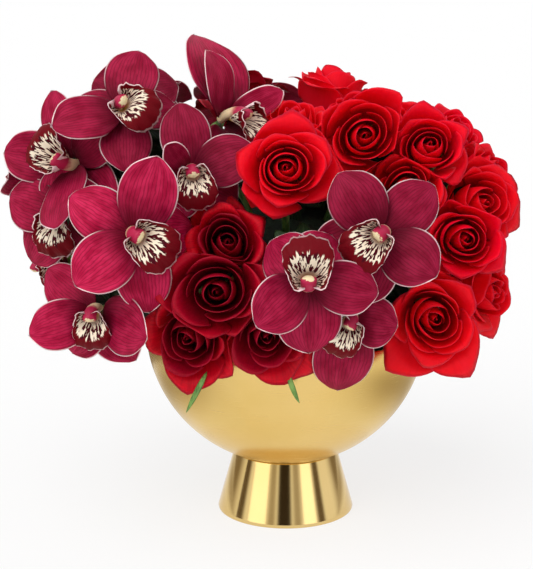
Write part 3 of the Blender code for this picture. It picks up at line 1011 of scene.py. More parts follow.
def leaf_whorl(
    face: np.ndarray, axes: np.ndarray, start: float, count: int, rng: np.random.Generator,
) -> MeshData:
    """Toothed leaves round a stem.

    A leaf's half width is a sine of `along` with small teeth; it folds up along its midrib
    and arches back.  No leaf reaches below the rim of the bowl.

    Args:
        face: middle of the bloom's face.
        axes: rows with the right, up and outward directions of the bloom.
        start: height of the uppermost leaf, from the face, in metres.
        count: number of leaves.
        rng: random numbers.

    Returns:
        The leaves as closed shells.
    """
    wide, long = 7, 16
    across = np.linspace(-1.0, 1.0, wide)[None, :, None]
    along = np.linspace(0.0, 1.0, long)[None, None, :]
    turn = (FULL_TURN * (np.arange(count) + 0.5 * rng.random(count)) / count)[:, None, None]
    length = 0.027 + 0.009 * rng.random((count, 1, 1))
    half = length * 0.33 * np.sin(math.pi * along ** 0.8) ** 0.8 + 0.0003
    half = half * (1.0 + 0.05 * np.sin(along * 50.0)) * np.ones_like(turn)
    depth = start - 0.016 * rng.random((count, 1, 1))
    tilt = rng.uniform(-0.5, 0.1, (count, 1, 1))
    out = 0.003 + length * along * np.cos(tilt)
    height = depth + length * (np.sin(tilt) * along - 0.35 * along ** 2.2)
    height = height + 0.35 * half * np.abs(across)
    side = across * half
    local = np.stack([
        out * np.cos(turn) - side * np.sin(turn),
        out * np.sin(turn) + side * np.cos(turn),
        height,
    ], -1)
    points = face + local @ axes
    rim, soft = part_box("bowl")[1][2] + 0.003, 0.008
    points[..., 2] = rim + soft * np.logaddexp(0.0, (points[..., 2] - rim) / soft)
    shape = local.shape[:3]
    values = {
        "along": np.broadcast_to(along, shape),
        "across": np.broadcast_to(across, shape),
        "tone": np.broadcast_to(rng.random((count, 1, 1)), shape),
    }
    return closed_sheets(points, 0.0004, values)


PRESS_GAP, PRESS_SHARE = 0.0006, 0.88


@dataclass
class Rose:
    """One rose: a spiral of cupped petals on a calyx, five sepals and a stem."""

    name: str
    spec: RoseSpec
    kind: BloomKind
    seed: int
    planes: list[Plane]
    depth: float = 0.044
    fullness: float = 1.10
    stem_radius: float = 0.0026
    thickness: float = 0.00045
    grid: tuple[int, int] = (19, 15)
    curl_out: float = 0.0022
    curl_down: float = 0.0045
    pinwheel: float = 0.07
    oval: float = 0.07
    drift: float = 0.0018
    droop_out: float = 0.008
    droop_down: float = 0.002
    sepal_count: int = 5
    sepal_width: float = 0.0032
    sepal_thickness: float = 0.0003
    loose_width: float = 0.0019

    def _face(self) -> np.ndarray:
        """Middle of the face."""
        return anchored(self.name, np.array(self.spec.face) * MM)

    def _axes(self) -> np.ndarray:
        """Rows: right, up and outward directions of the head."""
        return face_axes(self.spec.azimuth, self.spec.elevation)

    def petals(self) -> MeshData:
        """Spiral of petals.

        A petal's mid line is a cubic curve in (radius, height) from the calyx up to its rim.
        Its width is an angle round the rose's axis, wide near the rim and narrow at the base.
        Outer petals lean out, reach lower and roll back at the rim, and one side of every
        petal lies further out than the other, so that the petals overlap as a pinwheel.  The
        head is slightly oval, and its heart stands a little off the middle.

        Returns:
            The petals as closed shells.
        """
        rng = np.random.default_rng(self.seed)
        spec = self.spec
        count = spec.petals
        radius = spec.radius * MM * self.fullness
        wide, long = self.grid
        order = np.arange(count)
        rank = (order / (count - 1.0))[:, None, None]
        across = np.linspace(-1.0, 1.0, wide)[None, :, None]
        along = np.linspace(0.0, 1.0, long)[None, None, :]
        jitter = rng.normal(0.0, 1.0, (8, count, 1, 1))
        lean = ramped(rank, 0.30, 0.95) * spec.openness
        guard = ramped(rank, 0.78, 1.0)

        rim = radius * (0.02 + 1.03 * rank ** 1.25) * (1.0 + 0.06 * jitter[0] * rank)
        top = -0.0022 * (1.0 - ramped(rank, 0.0, 0.4)) - 0.0085 * lean - 0.0070 * guard * spec.openness
        top = top + 0.0017 * jitter[1] * rank
        start_r = 0.0025 + 0.0035 * rank
        start_z = -self.depth + 0.006 * (1.0 - rank)
        rise = top - start_z

        crown = 1.0 - (0.22 + 0.10 * rank) * np.abs(across) ** (2.5 - 0.8 * spec.point * lean)
        crown = crown + 0.065 * spec.point * lean * np.exp(-(across / 0.14) ** 2)
        way = along * crown
        closed = 1.0 - lean
        belly = rim * 0.62 + 0.007 * closed
        neck = rim * (0.58 * lean + closed) + 0.0035 * closed * ramped(rank, 0.0, 0.15)
        curve_r = bezier((start_r, belly, neck, rim), way)
        low_z = start_z + rise * (0.30 - 0.18 * lean)
        high_z = top - rise * (0.30 - 0.10 * lean)
        curve_z = bezier((start_z, low_z, high_z, top), way)
        curl = np.clip((way - 0.80) / 0.20, 0.0, 1.4) ** 2
        curve_r = curve_r + curl * lean * self.curl_out
        curve_z = curve_z - curl * lean * self.curl_down * (1.0 + 0.4 * jitter[5])
        fold = np.clip(np.abs(across) - 0.40, 0.0, 1.0) ** 2 * ramped(way, 0.45, 0.95)
        curve_z = curve_z - fold * (0.013 + 0.018 * spec.point) * lean
        curve_r = curve_r + self.pinwheel * rim * across * ramped(way, 0.1, 0.6)

        half = np.radians(150.0 - 94.0 * ramped(rank, -0.45, 0.75) ** 0.9)
        spread = 0.30 + 0.70 * ramped(way, 0.0, 0.62)
        angle = GOLDEN_ANGLE * order[:, None, None] + 0.22 * jitter[2] + across * half * spread
        wave = 0.65 * np.sin(across * 4.0 + 6.0 * jitter[3])
        wave = wave + 0.35 * np.sin(across * 8.0 + 6.0 * jitter[4])
        curve_z = curve_z + wave * way ** 4 * (0.0004 + 0.0016 * lean)
        curve_r = curve_r + wave * way ** 3 * (0.0002 + 0.0011 * lean)
        curve_z = curve_z + 0.0022 * jitter[6] * across * lean * way
        curve_r = curve_r * (1.0 + self.oval * np.cos(2.0 * angle + 6.0 * jitter[7, 0]))
        hang = spec.droop * rank ** 3 * ramped(way, 0.3, 1.0) * np.clip(-np.sin(angle), 0.0, 1.0)
        curve_r = curve_r + self.droop_out * hang
        curve_z = curve_z - self.droop_down * hang

        drift = self.drift * (1.0 - rank) * way
        local = np.stack([
            curve_r * np.cos(angle) + drift * jitter[7, 1],
            curve_r * np.sin(angle) + drift * jitter[7, 2],
            curve_z + 0.0 * angle,
        ], -1)
        points = self._face() + local @ self._axes()
        for middle, direction in self.planes:
            excess = (points - middle) @ direction + PRESS_GAP
            points = points - np.clip(excess, 0.0, None)[..., None] * direction * PRESS_SHARE
        shape = np.broadcast_shapes(way.shape, angle.shape)
        arc = (1.0 - np.abs(across)) * half * spread * np.maximum(curve_r, 0.004)
        brink = np.minimum((1.0 - along) * 0.040, arc)
        values = {
            "along": np.broadcast_to(way, shape),
            "across": np.broadcast_to(across, shape),
            "rank": np.broadcast_to(rank, shape),
            "bloom": np.full(shape, rng.random()),
            "blush": np.broadcast_to(spec.blush * ramped(rank, 0.62, 0.74), shape),
            "tone": np.broadcast_to(rng.random((count, 1, 1)), shape),
            "brink": np.broadcast_to(brink, shape),
        }
        return closed_sheets(points, self.thickness, values)

    def greenery(self) -> MeshData:
        """Stem with the swollen calyx as one tube, and five narrow sepals bent back from it.

        A sepal's half width is a sine of `along`, and it leans out and then back as it rises.

        Returns:
            The stem and the sepals, with those of the layout that hang out.
        """
        axes, face = self._axes(), self._face()
        base = face - axes[2] * (self.depth + 0.004)
        path = stem_path(base, axes[2])
        cup = base + axes[2] * np.linspace(0.002, 0.016, 7)[:, None]
        stem = np.full(len(path), self.stem_radius)
        swell = np.array([0.0035, 0.0050, 0.0062, 0.0070, 0.0074, 0.0066, 0.0030])
        body = swept_tube(np.concatenate([path, cup]), np.concatenate([stem, swell]), 12)
        rng = np.random.default_rng(self.seed + SEPAL_SEED)
        count = self.sepal_count
        across = np.linspace(-1.0, 1.0, 5)[None, :, None]
        along = np.linspace(0.0, 1.0, 12)[None, None, :]
        turn = (FULL_TURN * np.arange(count) / count + rng.random() * 6.0)[:, None, None]
        length = 0.024 + 0.006 * rng.random((count, 1, 1))
        width = self.sepal_width * np.sin(math.pi * np.clip(along, 0.03, 0.985) ** 0.6) ** 0.8
        bend = 1.0 + 1.5 * rng.random((count, 1, 1))
        lean = 0.9 + bend * along
        out = 0.006 + length * along * np.sin(np.minimum(lean, 2.6)) * 0.8
        height = -self.depth + 0.008 + length * along * np.cos(np.minimum(lean, 2.6))
        side = across * width
        local = np.stack([
            out * np.cos(turn) - side * np.sin(turn),
            out * np.sin(turn) + side * np.cos(turn),
            height - 0.0012 * across ** 2 * np.ones_like(out),
        ], -1)
        values = {"along": np.broadcast_to(along, local.shape[:3])}
        sepals = closed_sheets(face + local @ axes, self.sepal_thickness, values)
        loose = [self._loose_sepal(row) for row in self.spec.sepals]
        return MeshData.joined([body, sepals, *loose])

    def _loose_sepal(self, row: tuple[float, float, float, float]) -> MeshData:
        """Long sepal that hangs out from below the head.

        Its mid line is a cubic curve from the first to the second point of the row, and its
        half width a sine of `along`, drawn out to a fine tip.

        Args:
            row: right and up, in millimetres in the plane of the face, of its start and tip.

        Returns:
            The sepal as a closed shell.
        """
        start = np.array([row[0], row[1], -16.0]) * MM
        tip = np.array([row[2], row[3], -7.0]) * MM
        span = tip - start
        reach = np.linalg.norm(span)
        across = np.linspace(-1.0, 1.0, 5)[:, None, None]
        along = np.linspace(0.0, 1.0, 18)[None, :, None]
        bow = np.array([0.0, 0.0, 0.25]) * reach
        line = bezier((start, start + span * 0.3 + bow, start + span * 0.7 + bow, tip), along)
        side = np.array([-span[1], span[0], 0.0]) / reach
        half = self.loose_width * np.sin(math.pi * along ** 0.7) ** 0.9 + 0.0001
        fold = np.array([0.0, 0.0, 0.5]) * half * np.abs(across)
        local = line + side * half * across + fold
        return closed_sheets((self._face() + local @ self._axes())[None], self.sepal_thickness, {})

    def leaves(self) -> MeshData:
        """Leaves round the stem below the head."""
        rng = np.random.default_rng(self.seed + LEAF_SEED)
        return leaf_whorl(self._face(), self._axes(), -self.depth - 0.004, LEAF_COUNT, rng)

    def build(
        self, petals: bpy.types.Material, stems: bpy.types.Material, leaves: bpy.types.Material,
    ) -> None:
        """Make the three pieces of the rose.

        Args:
            petals: material of the petals.
            stems: material of the stem, calyx and sepals.
            leaves: material of the leaves.
        """
        settle(self.leaves().publish(f"{self.name}_leaves", leaves), self.name)
        settle(self.petals().publish(f"{self.name}_petals", petals), self.name)
        settle(self.greenery().publish(f"{self.name}_stem", stems), self.name)


@dataclass
class Orchid:
    """One orchid bloom: five tepals, a frilled lip, a hooded column and its pedicel."""

    name: str
    spec: OrchidSpec
    seed: int
    tepal_length: float = 0.052
    tepal_width: float = 0.0180
    lip_length: float = 0.029
    lip_sweep: float = 2.0
    thickness: float = 0.0006
    lip_thickness: float = 0.0005
    petal_turn: float = 70.0
    lateral_turn: float = 129.0
    natural_leans: Five = (0.16, 0.20, 0.14, 0.14, 0.20)
    natural_breadths: Five = (0.98, 1.06, 1.0, 1.0, 1.06)
    offsets: Five = (0.0, 0.0022, -0.0012, -0.0012, 0.0022)
    column_line: tuple[Triple, Triple, Triple, Triple] = (
        (0.0, 0.003, 0.0), (0.0, 0.006, 0.010), (0.0, 0.003, 0.021), (0.0, -0.005, 0.024),
    )
    leaf_depth: float = 0.022

    def _axes(self) -> np.ndarray:
        """Rows: side, dorsal and outward directions of the bloom."""
        right, upward, outward = face_axes(self.spec.azimuth, self.spec.elevation)
        spin = math.radians(self.spec.lip)
        dorsal = -(right * math.cos(spin) + upward * math.sin(spin))
        return np.stack([np.cross(dorsal, outward), dorsal, outward])

    def _hub(self) -> np.ndarray:
        """Middle of the bloom, at the base of the column."""
        outward = face_axes(self.spec.azimuth, self.spec.elevation)[2]
        return anchored(self.name, np.array(self.spec.hub) * MM) - outward * self.spec.sink

    def tepals(self) -> MeshData:
        """Five broad tepals.

        A tepal's half width is a power law in `along` that is narrow at the claw, widest past
        the middle and blunt at the tip.  It rises forward from the hub, bows back at the tip,
        and its cross-section is a trough at the claw and a low crown further out.

        Returns:
            The tepals as closed shells.
        """
        rng = np.random.default_rng(self.seed)
        spec = self.spec
        wide, long = ((21, 26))
        side = np.array([self.petal_turn, self.lateral_turn])
        turns = np.concatenate([[0.0], side, 360.0 - side[::-1]])
        turns = turns + np.array(spec.turns) + rng.normal(0.0, 2.0, 5)
        heading = np.radians(turns)[:, None, None]
        trims = np.array(spec.trims)[:, None, None] * spec.size
        length = self.tepal_length * trims * (1.0 + 0.03 * rng.normal(0.0, 1.0, (5, 1, 1)))
        breadths = np.array(self.natural_breadths) * np.array(spec.breadths)
        width = self.tepal_width * spec.size * breadths[:, None, None]
        across = np.linspace(-1.0, 1.0, wide)[None, :, None]
        steps = np.linspace(0.0, 1.0, long)
        along = (steps + 0.045 * np.sin(2.0 * math.pi * steps))[None, None, :]
        share = np.clip(along, 0.0, 0.9995)
        claw, tip = 0.62, 0.66
        widest = claw / (claw + tip)
        outline = share ** claw * (1.0 - share) ** tip / (widest ** claw * (1.0 - widest) ** tip)
        outline = outline * (1.0 - 0.20 * ramped(along, 0.78, 1.0))
        half = width * (0.10 * (1.0 - along) ** 3 + outline * 0.98) + 0.0001
        behind = np.array(self.offsets)[:, None, None]
        lean = np.array(self.natural_leans)[:, None, None] + 0.05 * rng.normal(0.0, 1.0, (5, 1, 1))
        lean = lean + np.array(spec.leans)[:, None, None]
        bow = 0.30 + 0.08 * rng.normal(0.0, 1.0, (5, 1, 1))
        height = length * (lean * along * 1.6 - bow * along ** 2.4) + behind
        cup = rng.uniform(-0.10, 0.26, (5, 1, 1))
        section = 0.25 * (1.0 - ramped(along, 0.0, 0.35)) + cup * ramped(along, 0.2, 0.9)
        height = height + section * half * across ** 2
        twist = 0.10 * rng.normal(0.0, 1.0, (5, 1, 1)) * along
        height = height + twist * across * half
        wave = np.sin(5.5 * along + 6.0 * rng.random((5, 1, 1))) * ramped(along, 0.15, 0.5)
        height = height + wave * across ** 3 * 0.0012
        far = 0.003 + (length - 0.003) * (along - 0.05 * along ** 3)
        side = across * half
        local = np.stack([
            -np.sin(heading) * far - np.cos(heading) * side,
            np.cos(heading) * far - np.sin(heading) * side,
            height,
        ], -1)
        points = self._hub() + local @ self._axes()
        shape = local.shape[:3]
        brink = np.minimum((1.0 - np.abs(across)) * half, (1.0 - along) * length * 0.8)
        values = {
            "along": np.broadcast_to(along, shape),
            "across": np.broadcast_to(across, shape),
            "tone": np.broadcast_to(rng.random((5, 1, 1)), shape),
            "shade": np.full(shape, spec.shade),
            "brink": np.broadcast_to(brink, shape),
        }
        return closed_sheets(points, self.thickness * spec.size, values)

    def lip(self) -> MeshData:
        """Frilled lip as a fan swept about the column's foot.

        `across` is the bearing round the foot and `along` the reach from it.  The sides stand
        up on both sides of the column, the middle runs forward and turns down at the rim, and
        the rim ripples.

        Returns:
            The lip as a closed shell.
        """
        rng = np.random.default_rng(self.seed + LIP_SEED)
        wide, long = ((57, 22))
        across = np.linspace(-1.0, 1.0, wide)[None, :, None]
        along = np.linspace(0.0, 1.0, long)[None, None, :]
        bearing = across * self.lip_sweep
        frill = 0.018 * np.sin(17.0 * bearing + 6.0 * rng.random())
        frill = frill + 0.014 * np.sin(31.0 * bearing + 6.0 * rng.random())
        reach = self.lip_length * (0.60 + 0.40 * np.exp(-(bearing / 1.10) ** 4)) * (1.0 + frill)
        reach = reach * (0.25 + 0.75 * np.sqrt(np.clip(1.0 - np.abs(across) ** 5, 0.0, 1.0)))
        far = reach * (0.05 + 0.95 * along)
        stand = np.sin(np.clip(np.abs(bearing), 0.0, 1.57)) ** 2
        middle = 0.006 + 0.019 * np.sin(0.5 * math.pi * np.clip(along / 0.72, 0.0, 1.0))
        middle = middle - 0.011 * np.clip((along - 0.62) / 0.38, 0.0, 1.0) ** 2
        flank = 0.006 + 0.021 * along ** 0.9
        height = middle * (1.0 - stand) + flank * stand
        ripple = np.sin(17.0 * bearing + 6.0 * rng.random()) * 0.0011 + np.sin(29.0 * bearing) * 0.0006
        height = height + ripple * along ** 5
        pull = 1.0 - 0.30 * stand * along ** 2
        local = np.stack([
            np.sin(bearing) * far * pull,
            0.002 - np.cos(bearing) * far - 0.002 * along,
            height,
        ], -1) * self.spec.size * self.spec.lip_share
        points = self._hub() + local @ self._axes()
        shape = local.shape[:3]
        edge = np.minimum((1.0 - along) * reach, (1.0 - np.abs(across)) * self.lip_sweep * far)
        values = {
            "along": np.broadcast_to(along, shape),
            "across": np.broadcast_to(across, shape),
            "tone": np.full(shape, rng.random()),
            "brink": np.broadcast_to(edge, shape),
        }
        return closed_sheets(points, self.lip_thickness * self.spec.size, values)

    def column(self) -> MeshData:
        """Club-shaped column arching over the lip, ending in the rounded anther cap."""
        steps = np.linspace(0.0, 1.0, 22)[:, None]
        path = bezier(np.array(self.column_line), steps)
        share = steps[:, 0]
        radii = 0.0033 + 0.0011 * np.sin(0.5 * math.pi * share)
        past = np.clip(share - 0.90, 0.0, None) / 0.102
        radii = radii * np.sqrt(np.clip(1.0 - past ** 2, 0.02, 1.0))
        tube = swept_tube(path, radii, 16)
        stretch = np.array([1.15, 0.92, 0.95]) * self.spec.size
        tube.points = self._hub() + (tube.points * stretch) @ self._axes()
        return tube

    def pedicel(self) -> MeshData:
        """Stalk from the foam to the back of the bloom, thickening into the ovary."""
        axes = self._axes()
        base = self._hub() - axes[2] * 0.004
        path = stem_path(base, axes[2], 18)
        share = np.linspace(0.0, 1.0, len(path))
        radii = 0.0019 + 0.0014 * ramped(share, 0.5, 0.9)
        return swept_tube(path, radii, 10)

    def leaves(self) -> MeshData:
        """Leaves round the stalk behind the tepals."""
        rng = np.random.default_rng(self.seed + LEAF_SEED)
        return leaf_whorl(self._hub(), self._axes(), -self.leaf_depth, LEAF_COUNT, rng)

    def build(self, finishes: dict[str, bpy.types.Material]) -> None:
        """Make the five pieces of the bloom.

        Args:
            finishes: materials by piece: tepals, lip, column, pedicel and leaves.
        """
        for part in ("tepals", "lip", "column", "pedicel", "leaves"):
            mesh = getattr(self, part)()
            piece = mesh.publish(f"{self.name}_{part}", finishes[part])
            settle(piece, self.name)


@dataclass
class Vessel:
    """The bowl on its foot, with the pad below and the foam inside."""

    wall: float = 0.002
    foot_wall: float = 0.0015
    sides: int = 160

    def bowl(self) -> MeshData:
        """Hemispherical shell with a rounded rim, turned about the axis."""
        low, high = (np.array(corner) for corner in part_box("bowl"))
        radius = 0.5 * (high[0] - low[0])
        centre = low[2] + radius
        angles = np.radians(np.linspace(-90.0, 0.0, 60))
        outer = np.stack([radius * np.cos(angles), centre + radius * np.sin(angles)], -1)
        inner_radius = radius - self.wall
        inner = np.stack([inner_radius * np.cos(angles), centre + inner_radius * np.sin(angles)], -1)
        turn = np.linspace(0.0, math.pi, 7)[1:-1]
        half = 0.5 * self.wall
        rim = np.stack([radius - half + half * np.cos(turn), centre + 0.9 * half * np.sin(turn)], -1)
        return lathe(np.concatenate([outer, rim, inner[::-1]]), self.sides)

    def foot(self) -> MeshData:
        """Flared cone with softened edges that carries the bowl on a shallow dish."""
        low, high = (np.array(corner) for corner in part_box("foot"))
        bowl_low, bowl_high = (np.array(corner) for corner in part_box("bowl"))
        base = 0.5 * (high[0] - low[0])
        radius = 0.5 * (bowl_high[0] - bowl_low[0])
        centre = bowl_low[2] + radius
        seat_radius = radius + 0.0002
        top_z = high[2] - 0.0004
        top = math.sqrt(seat_radius ** 2 - (centre - top_z) ** 2)
        angles = np.arccos(np.linspace(top / seat_radius, 0.0, 16))
        seat = np.stack([seat_radius * np.cos(angles), centre - seat_radius * np.sin(angles)], -1)
        floor_z = seat[-1, 1] - self.foot_wall
        under = np.array([[0.0, floor_z], [top - self.foot_wall, floor_z]])
        steps = np.linspace(0.0, 1.0, 24)[:, None]
        low_corner, high_corner = np.array([base, 0.0012]), np.array([top + 0.0003, top_z - 0.0008])
        skirt = low_corner + (high_corner - low_corner) * steps
        lip = np.array([
            [base - self.foot_wall, low[2]], [base - 0.0007, low[2]], [base - 0.0002, low[2] + 0.0003],
        ])
        return lathe(np.concatenate([under, lip, skirt, seat]), self.sides)

    def pad(self) -> MeshData:
        """Felt disc with a softened edge."""
        low, high = (np.array(corner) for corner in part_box("base_pad"))
        radius = 0.5 * (high[0] - low[0])
        profile = np.array([
            [0.0, low[2]], [radius - 0.0006, low[2]], [radius - 0.0001, low[2] + 0.0004],
            [radius, high[2] * 0.5], [radius - 0.0004, high[2] - 0.0003], [radius - 0.001, high[2]],
            [0.0, high[2]],
        ])
        return lathe(profile, 96)

    def foam(self) -> MeshData:
        """Foam block: the CAD's domed profile with a crumbled, uneven surface."""
        low, high = (np.array(corner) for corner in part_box("floral_foam"))
        radius = 0.5 * (high[0] - low[0])
        centre = high[2] - radius
        angles = np.radians(np.linspace(0.0, 89.0, 60))
        dome = np.stack([radius * np.cos(angles), centre + radius * np.sin(angles)], -1)
        steps = np.linspace(0.0, 1.0, 30)[:, None]
        corner = np.array([0.050, low[2] + 0.001])
        shoulder = np.array([radius, centre - 0.045])
        side = corner + (shoulder - corner) * steps
        wall = shoulder + (dome[0] - shoulder) * np.linspace(0.0, 1.0, 20)[1:-1, None]
        ends = np.array([[0.0, low[2] + 0.001]]), np.array([[0.0, high[2]]])
        body = lathe(np.concatenate([ends[0], side, wall, dome, ends[1]]), 160)
        points = body.points
        wobble = (
            np.sin(points[:, 0] * 410.0 + 3.0 * np.sin(points[:, 2] * 230.0))
            * np.sin(points[:, 1] * 370.0 + 2.0 * np.sin(points[:, 0] * 290.0))
            + 0.5 * np.sin(points[:, 2] * 620.0 + points[:, 0] * 300.0)
        )
        body.points = points * (1.0 - 0.006 * (1.0 + wobble))[:, None] ** np.array([1.0, 1.0, 0.0])
        return body

    def build(self) -> None:
        """Make the four pieces of the vessel."""
        settle(self.bowl().publish("bowl_shell", BOWL_GOLD.build()), "bowl")
        settle(self.foot().publish("foot_cone", FOOT_GOLD.build()), "foot")
        settle(self.pad().publish("foot_pad", PAD_FELT.build()), "base_pad")
        settle(self.foam().publish("foam_block", FOAM.build()), "floral_foam")


def press_planes(specs: Sequence[RoseSpec], depth: float = 0.047) -> list[list[Plane]]:
    """Planes on which neighbouring rose heads press together.

    Args:
        specs: every rose of the arrangement.
        depth: length of a head along its axis, in metres.

    Returns:
        For each rose, (point, direction away from the rose) of each of its planes.
    """
    planes: list[list[Plane]] = [[] for _ in specs]
    steps = np.linspace(0.0, depth, 17)[:, None]
    outward = [face_axes(spec.azimuth, spec.elevation)[2] for spec in specs]
    axes = [np.array(spec.face) * MM - steps * way for spec, way in zip(specs, outward)]
    for one, two in combinations(range(len(specs)), 2):
        gaps = np.linalg.norm(axes[one][:, None] - axes[two][None], axis=-1)
        first, second = np.unravel_index(np.argmin(gaps), gaps.shape)
        near, far = axes[one][first], axes[two][second]
        reach = (specs[one].radius + specs[two].radius) * MM
        if gaps[first, second] > reach * 1.15:
            continue
        middle = near + (far - near) * specs[one].radius * MM / reach
        direction = (far - near) / gaps[first, second]
        planes[one].append((middle, direction))
        planes[two].append((middle, -direction))
    return planes


@dataclass
class Arrangement:
    """All the blooms."""

    def build(self) -> None:
        """Make every rose and every orchid in the order of the layout."""
        stems, leaves = STEMS.build(), LEAVES.build()
        looks = {BloomKind.RED_ROSE: RED_PETALS.build(), BloomKind.DARK_ROSE: DARK_PETALS.build()}
        rows = [(BloomKind.RED_ROSE, spec) for spec in RED_ROSES]
        rows += [(BloomKind.DARK_ROSE, spec) for spec in DARK_ROSES]
        planes = press_planes([spec for _, spec in rows])
        numbers = {kind: 0 for kind in BloomKind}
        for seed, ((kind, spec), own) in enumerate(zip(rows, planes)):
            numbers[kind] += 1
            rose = Rose(f"{kind.value}_{numbers[kind]:02d}", spec, kind, seed, own)
            rose.build(looks[kind], stems, leaves)
        finishes = {
            "tepals": TEPALS.build(), "lip": LIPS.build(), "column": COLUMNS.build(),
            "pedicel": stems, "leaves": leaves,
        }
        for number, spec in enumerate(ORCHIDS, start=1):
            Orchid(f"orchid_{number:02d}", spec, ORCHID_SEED + number).build(finishes)


# ---------------------------------------------------------------------------- studio
class Tone(Enum):
    """Colours of the cards that the metal reflects."""

    BLACK = (0.030, 0.020, 0.012)
    UMBER = (0.13, 0.095, 0.06)
    BROWN = (0.26, 0.21, 0.15)
    GREY = (0.46, 0.42, 0.36)


@dataclass(frozen=True)
class Card:
    """One curved card: degrees round the axis, (radius, height) of its edges, and soft borders."""

    name: str
    start: float
    end: float
    low: tuple[float, float]
    high: tuple[float, float]
    side_edge: float
    rise_edge: float
    tone: Tone


CARDS = (
    Card("card_camera", -17.0, 12.0, (1.30, 0.0), (1.30, 0.9), 0.22, 0.05, Tone.BLACK),
    Card("card_near_left", -34.0, -15.0, (1.32, 0.0), (1.32, 0.9), 0.40, 0.05, Tone.GREY),
    Card("card_near_right", 10.0, 30.0, (1.32, 0.0), (1.32, 0.9), 0.40, 0.05, Tone.GREY),
    Card("card_right", 52.0, 72.0, (1.30, 0.0), (1.30, 0.9), 0.35, 0.05, Tone.UMBER),
    Card("card_left", -100.0, -72.0, (1.30, 0.0), (1.30, 0.9), 0.30, 0.05, Tone.UMBER),
    Card("card_back_left", -178.0, -86.0, (0.34, 0.0), (0.34, 0.46), 0.25, 0.45, Tone.BROWN),
    Card("card_back_right", 88.0, 178.0, (0.34, 0.0), (0.34, 0.46), 0.25, 0.45, Tone.BROWN),
    Card("card_floor_left", -165.0, -35.0, (0.10, 0.001), (0.38, 0.001), 0.40, 0.45, Tone.GREY),
    Card("card_floor_right", 35.0, 165.0, (0.10, 0.001), (0.38, 0.001), 0.40, 0.45, Tone.GREY),
)


@dataclass(frozen=True)
class Lamp:
    """Soft distant lamp.

    `bearing` is in degrees to the right of the camera's side, `height` in degrees above the
    floor, `strength` in watts per square metre and `softness` its apparent width in degrees.
    """

    name: str
    bearing: float
    height: float
    strength: float
    softness: float


LAMPS = (
    Lamp("key_lamp", -34.0, 50.0, 2.05, 60.0),
    Lamp("fill_lamp", 42.0, 30.0, 0.60, 60.0),
    Lamp("side_lamp", -48.0, 18.0, 0.35, 44.0),
    Lamp("top_lamp", 160.0, 70.0, 0.60, 90.0),
)


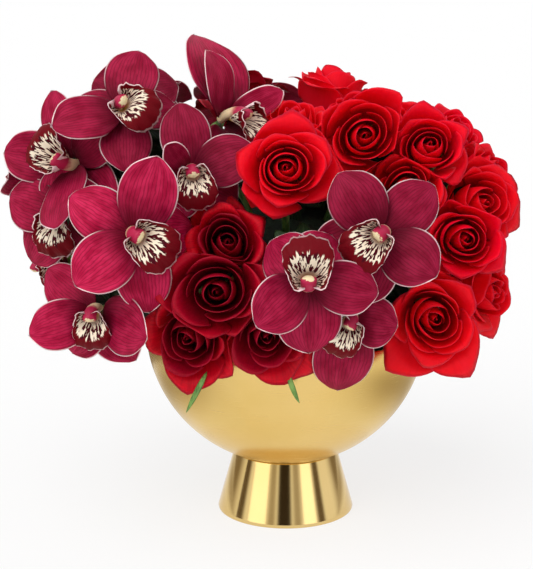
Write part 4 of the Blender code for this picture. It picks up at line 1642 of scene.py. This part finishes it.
@dataclass
class Studio:
    """Camera, floor, backdrop light and soft lamps."""

    camera_place: Triple = (-0.0139, -1.100, 0.411)
    camera_pitch: float = 12.6
    lens: float = 100.4
    sensor: float = 36.0
    far_clip: float = 100.0
    floor_reach: float = 24.0
    whiteness: float = 0.75
    sky_strength: float = 0.24
    card_white: Colour = (0.95, 0.95, 0.95)
    card_grid: tuple[int, int] = (49, 25)

    def camera(self) -> None:
        """Camera at the height and distance from which the arrangement is seen."""
        data = bpy.data.cameras.new("camera")
        data.sensor_fit = "VERTICAL"
        data.sensor_height = self.sensor
        data.lens = self.lens
        data.clip_end = self.far_clip
        camera = bpy.data.objects.new("camera", data)
        camera.location = self.camera_place
        camera.rotation_euler = (math.radians(90.0 - self.camera_pitch), 0.0, 0.0)
        bpy.context.scene.collection.objects.link(camera)
        bpy.context.scene.camera = camera

    def floor(self) -> None:
        """Pale floor that reads as white to the camera and keeps the soft shadow."""
        graph = Graph("floor_paint")
        grain = graph.noise(graph.place(), 3.0, 2.0)
        pale = graph.blend(grain, (0.94, 0.94, 0.94), (0.96, 0.96, 0.96))
        lit = graph.principled(Base_Color=pale, Roughness=0.9, Specular_IOR_Level=0.0)
        white = graph.node("ShaderNodeEmission", {}, {"Color": (1.0, 1.0, 1.0), "Strength": 1.0})
        share = graph.seen() * self.whiteness
        paint = graph.finished(graph.node("ShaderNodeMixShader", {}, {0: share, 1: lit, 2: white}))
        corners = np.array([[-1.0, -1.0, 0.0], [1.0, -1.0, 0.0], [1.0, 1.0, 0.0], [-1.0, 1.0, 0.0]])
        sheet = MeshData(corners * self.floor_reach, np.arange(4)[None], NO_TRIANGLES)
        floor = sheet.publish("floor", paint)

    def lamp(self, lamp: Lamp) -> None:
        """Hang one lamp."""
        data = bpy.data.lights.new(lamp.name, "SUN")
        data.energy = lamp.strength
        data.angle = math.radians(lamp.softness)
        hung = bpy.data.objects.new(lamp.name, data)
        hung.rotation_euler = (math.radians(90.0 - lamp.height), 0.0, math.radians(lamp.bearing))
        bpy.context.scene.collection.objects.link(hung)

    def card_paint(self, tone: Tone) -> bpy.types.Material:
        """Paint that fades from a tone to white towards the borders of a card."""
        graph = Graph(f"card_{tone.name.lower()}")
        fade = graph.blend(graph.attribute("fade"), self.card_white, tone.value)
        return graph.surface(
            Base_Color=(0.0, 0.0, 0.0), Roughness=1.0, Specular_IOR_Level=0.0,
            Emission_Color=fade, Emission_Strength=1.0,
        )

    def card(self, row: Card, paint: bpy.types.Material) -> None:
        """Curved card that only the metal reflects.

        Its points run round the axis with `side` and from its low to its high edge with
        `rise`; `fade` falls from 1 inside to 0 at every border that doesn't stand on the floor.

        Args:
            row: where the card stands.
            paint: its material.
        """
        wide, tall = self.card_grid
        side = np.linspace(0.0, 1.0, wide)[:, None]
        rise = np.linspace(0.0, 1.0, tall)[None, :]
        turn = np.radians(row.start + (row.end - row.start) * side)
        away = row.low[0] + (row.high[0] - row.low[0]) * rise + 0.0 * turn
        height = row.low[1] + (row.high[1] - row.low[1]) * rise + 0.0 * turn
        grid = np.stack([away * np.sin(turn), -away * np.cos(turn), height], -1)
        index = np.arange(wide * tall).reshape(wide, tall)
        corners = [index[:-1, :-1], index[1:, :-1], index[1:, 1:], index[:-1, 1:]]
        quads = np.stack(corners, -1).reshape(-1, 4)
        standing = row.low[1] == 0.0
        fade = ramped(np.minimum(side, 1.0 - side), 0.0, row.side_edge)
        fade = fade * ramped(np.minimum(rise + standing, 1.0 - rise), 0.0, row.rise_edge)
        mesh = MeshData(grid.reshape(-1, 3), quads, NO_TRIANGLES, {"fade": fade.ravel()})
        card = mesh.publish(row.name, paint)
        for flag in ("visible_camera", "visible_diffuse", "visible_shadow"):
            setattr(card, flag, False)

    def world(self) -> None:
        """White surroundings for the camera and for reflections, dimmer as a light."""
        graph = Graph("studio", world=True)
        levels = {"Value": graph.seen(), "To Min": self.sky_strength, "To Max": 1.0}
        strength = graph.node("ShaderNodeMapRange", {}, levels)
        sky = {"Color": (1.0, 1.0, 1.0), "Strength": strength}
        light = graph.node("ShaderNodeBackground", {}, sky)
        graph.node("ShaderNodeOutputWorld", {}, {"Surface": light})
        bpy.context.scene.world = graph.owner

    def build(self) -> None:
        """Set the whole studio up."""
        bpy.context.scene.view_settings.view_transform = "Standard"
        self.camera()
        self.floor()
        self.world()
        paints = {tone: self.card_paint(tone) for tone in Tone}
        for row in CARDS:
            self.card(row, paints[row.tone])
        for lamp in LAMPS:
            self.lamp(lamp)


def main() -> None:
    """Build the vessel, the blooms and the studio in order."""
    logging.basicConfig(level=logging.INFO, format="%(name)s %(message)s")
    Vessel().build()
    Arrangement().build()
    Studio().build()


if __name__ == "__main__":
    main()
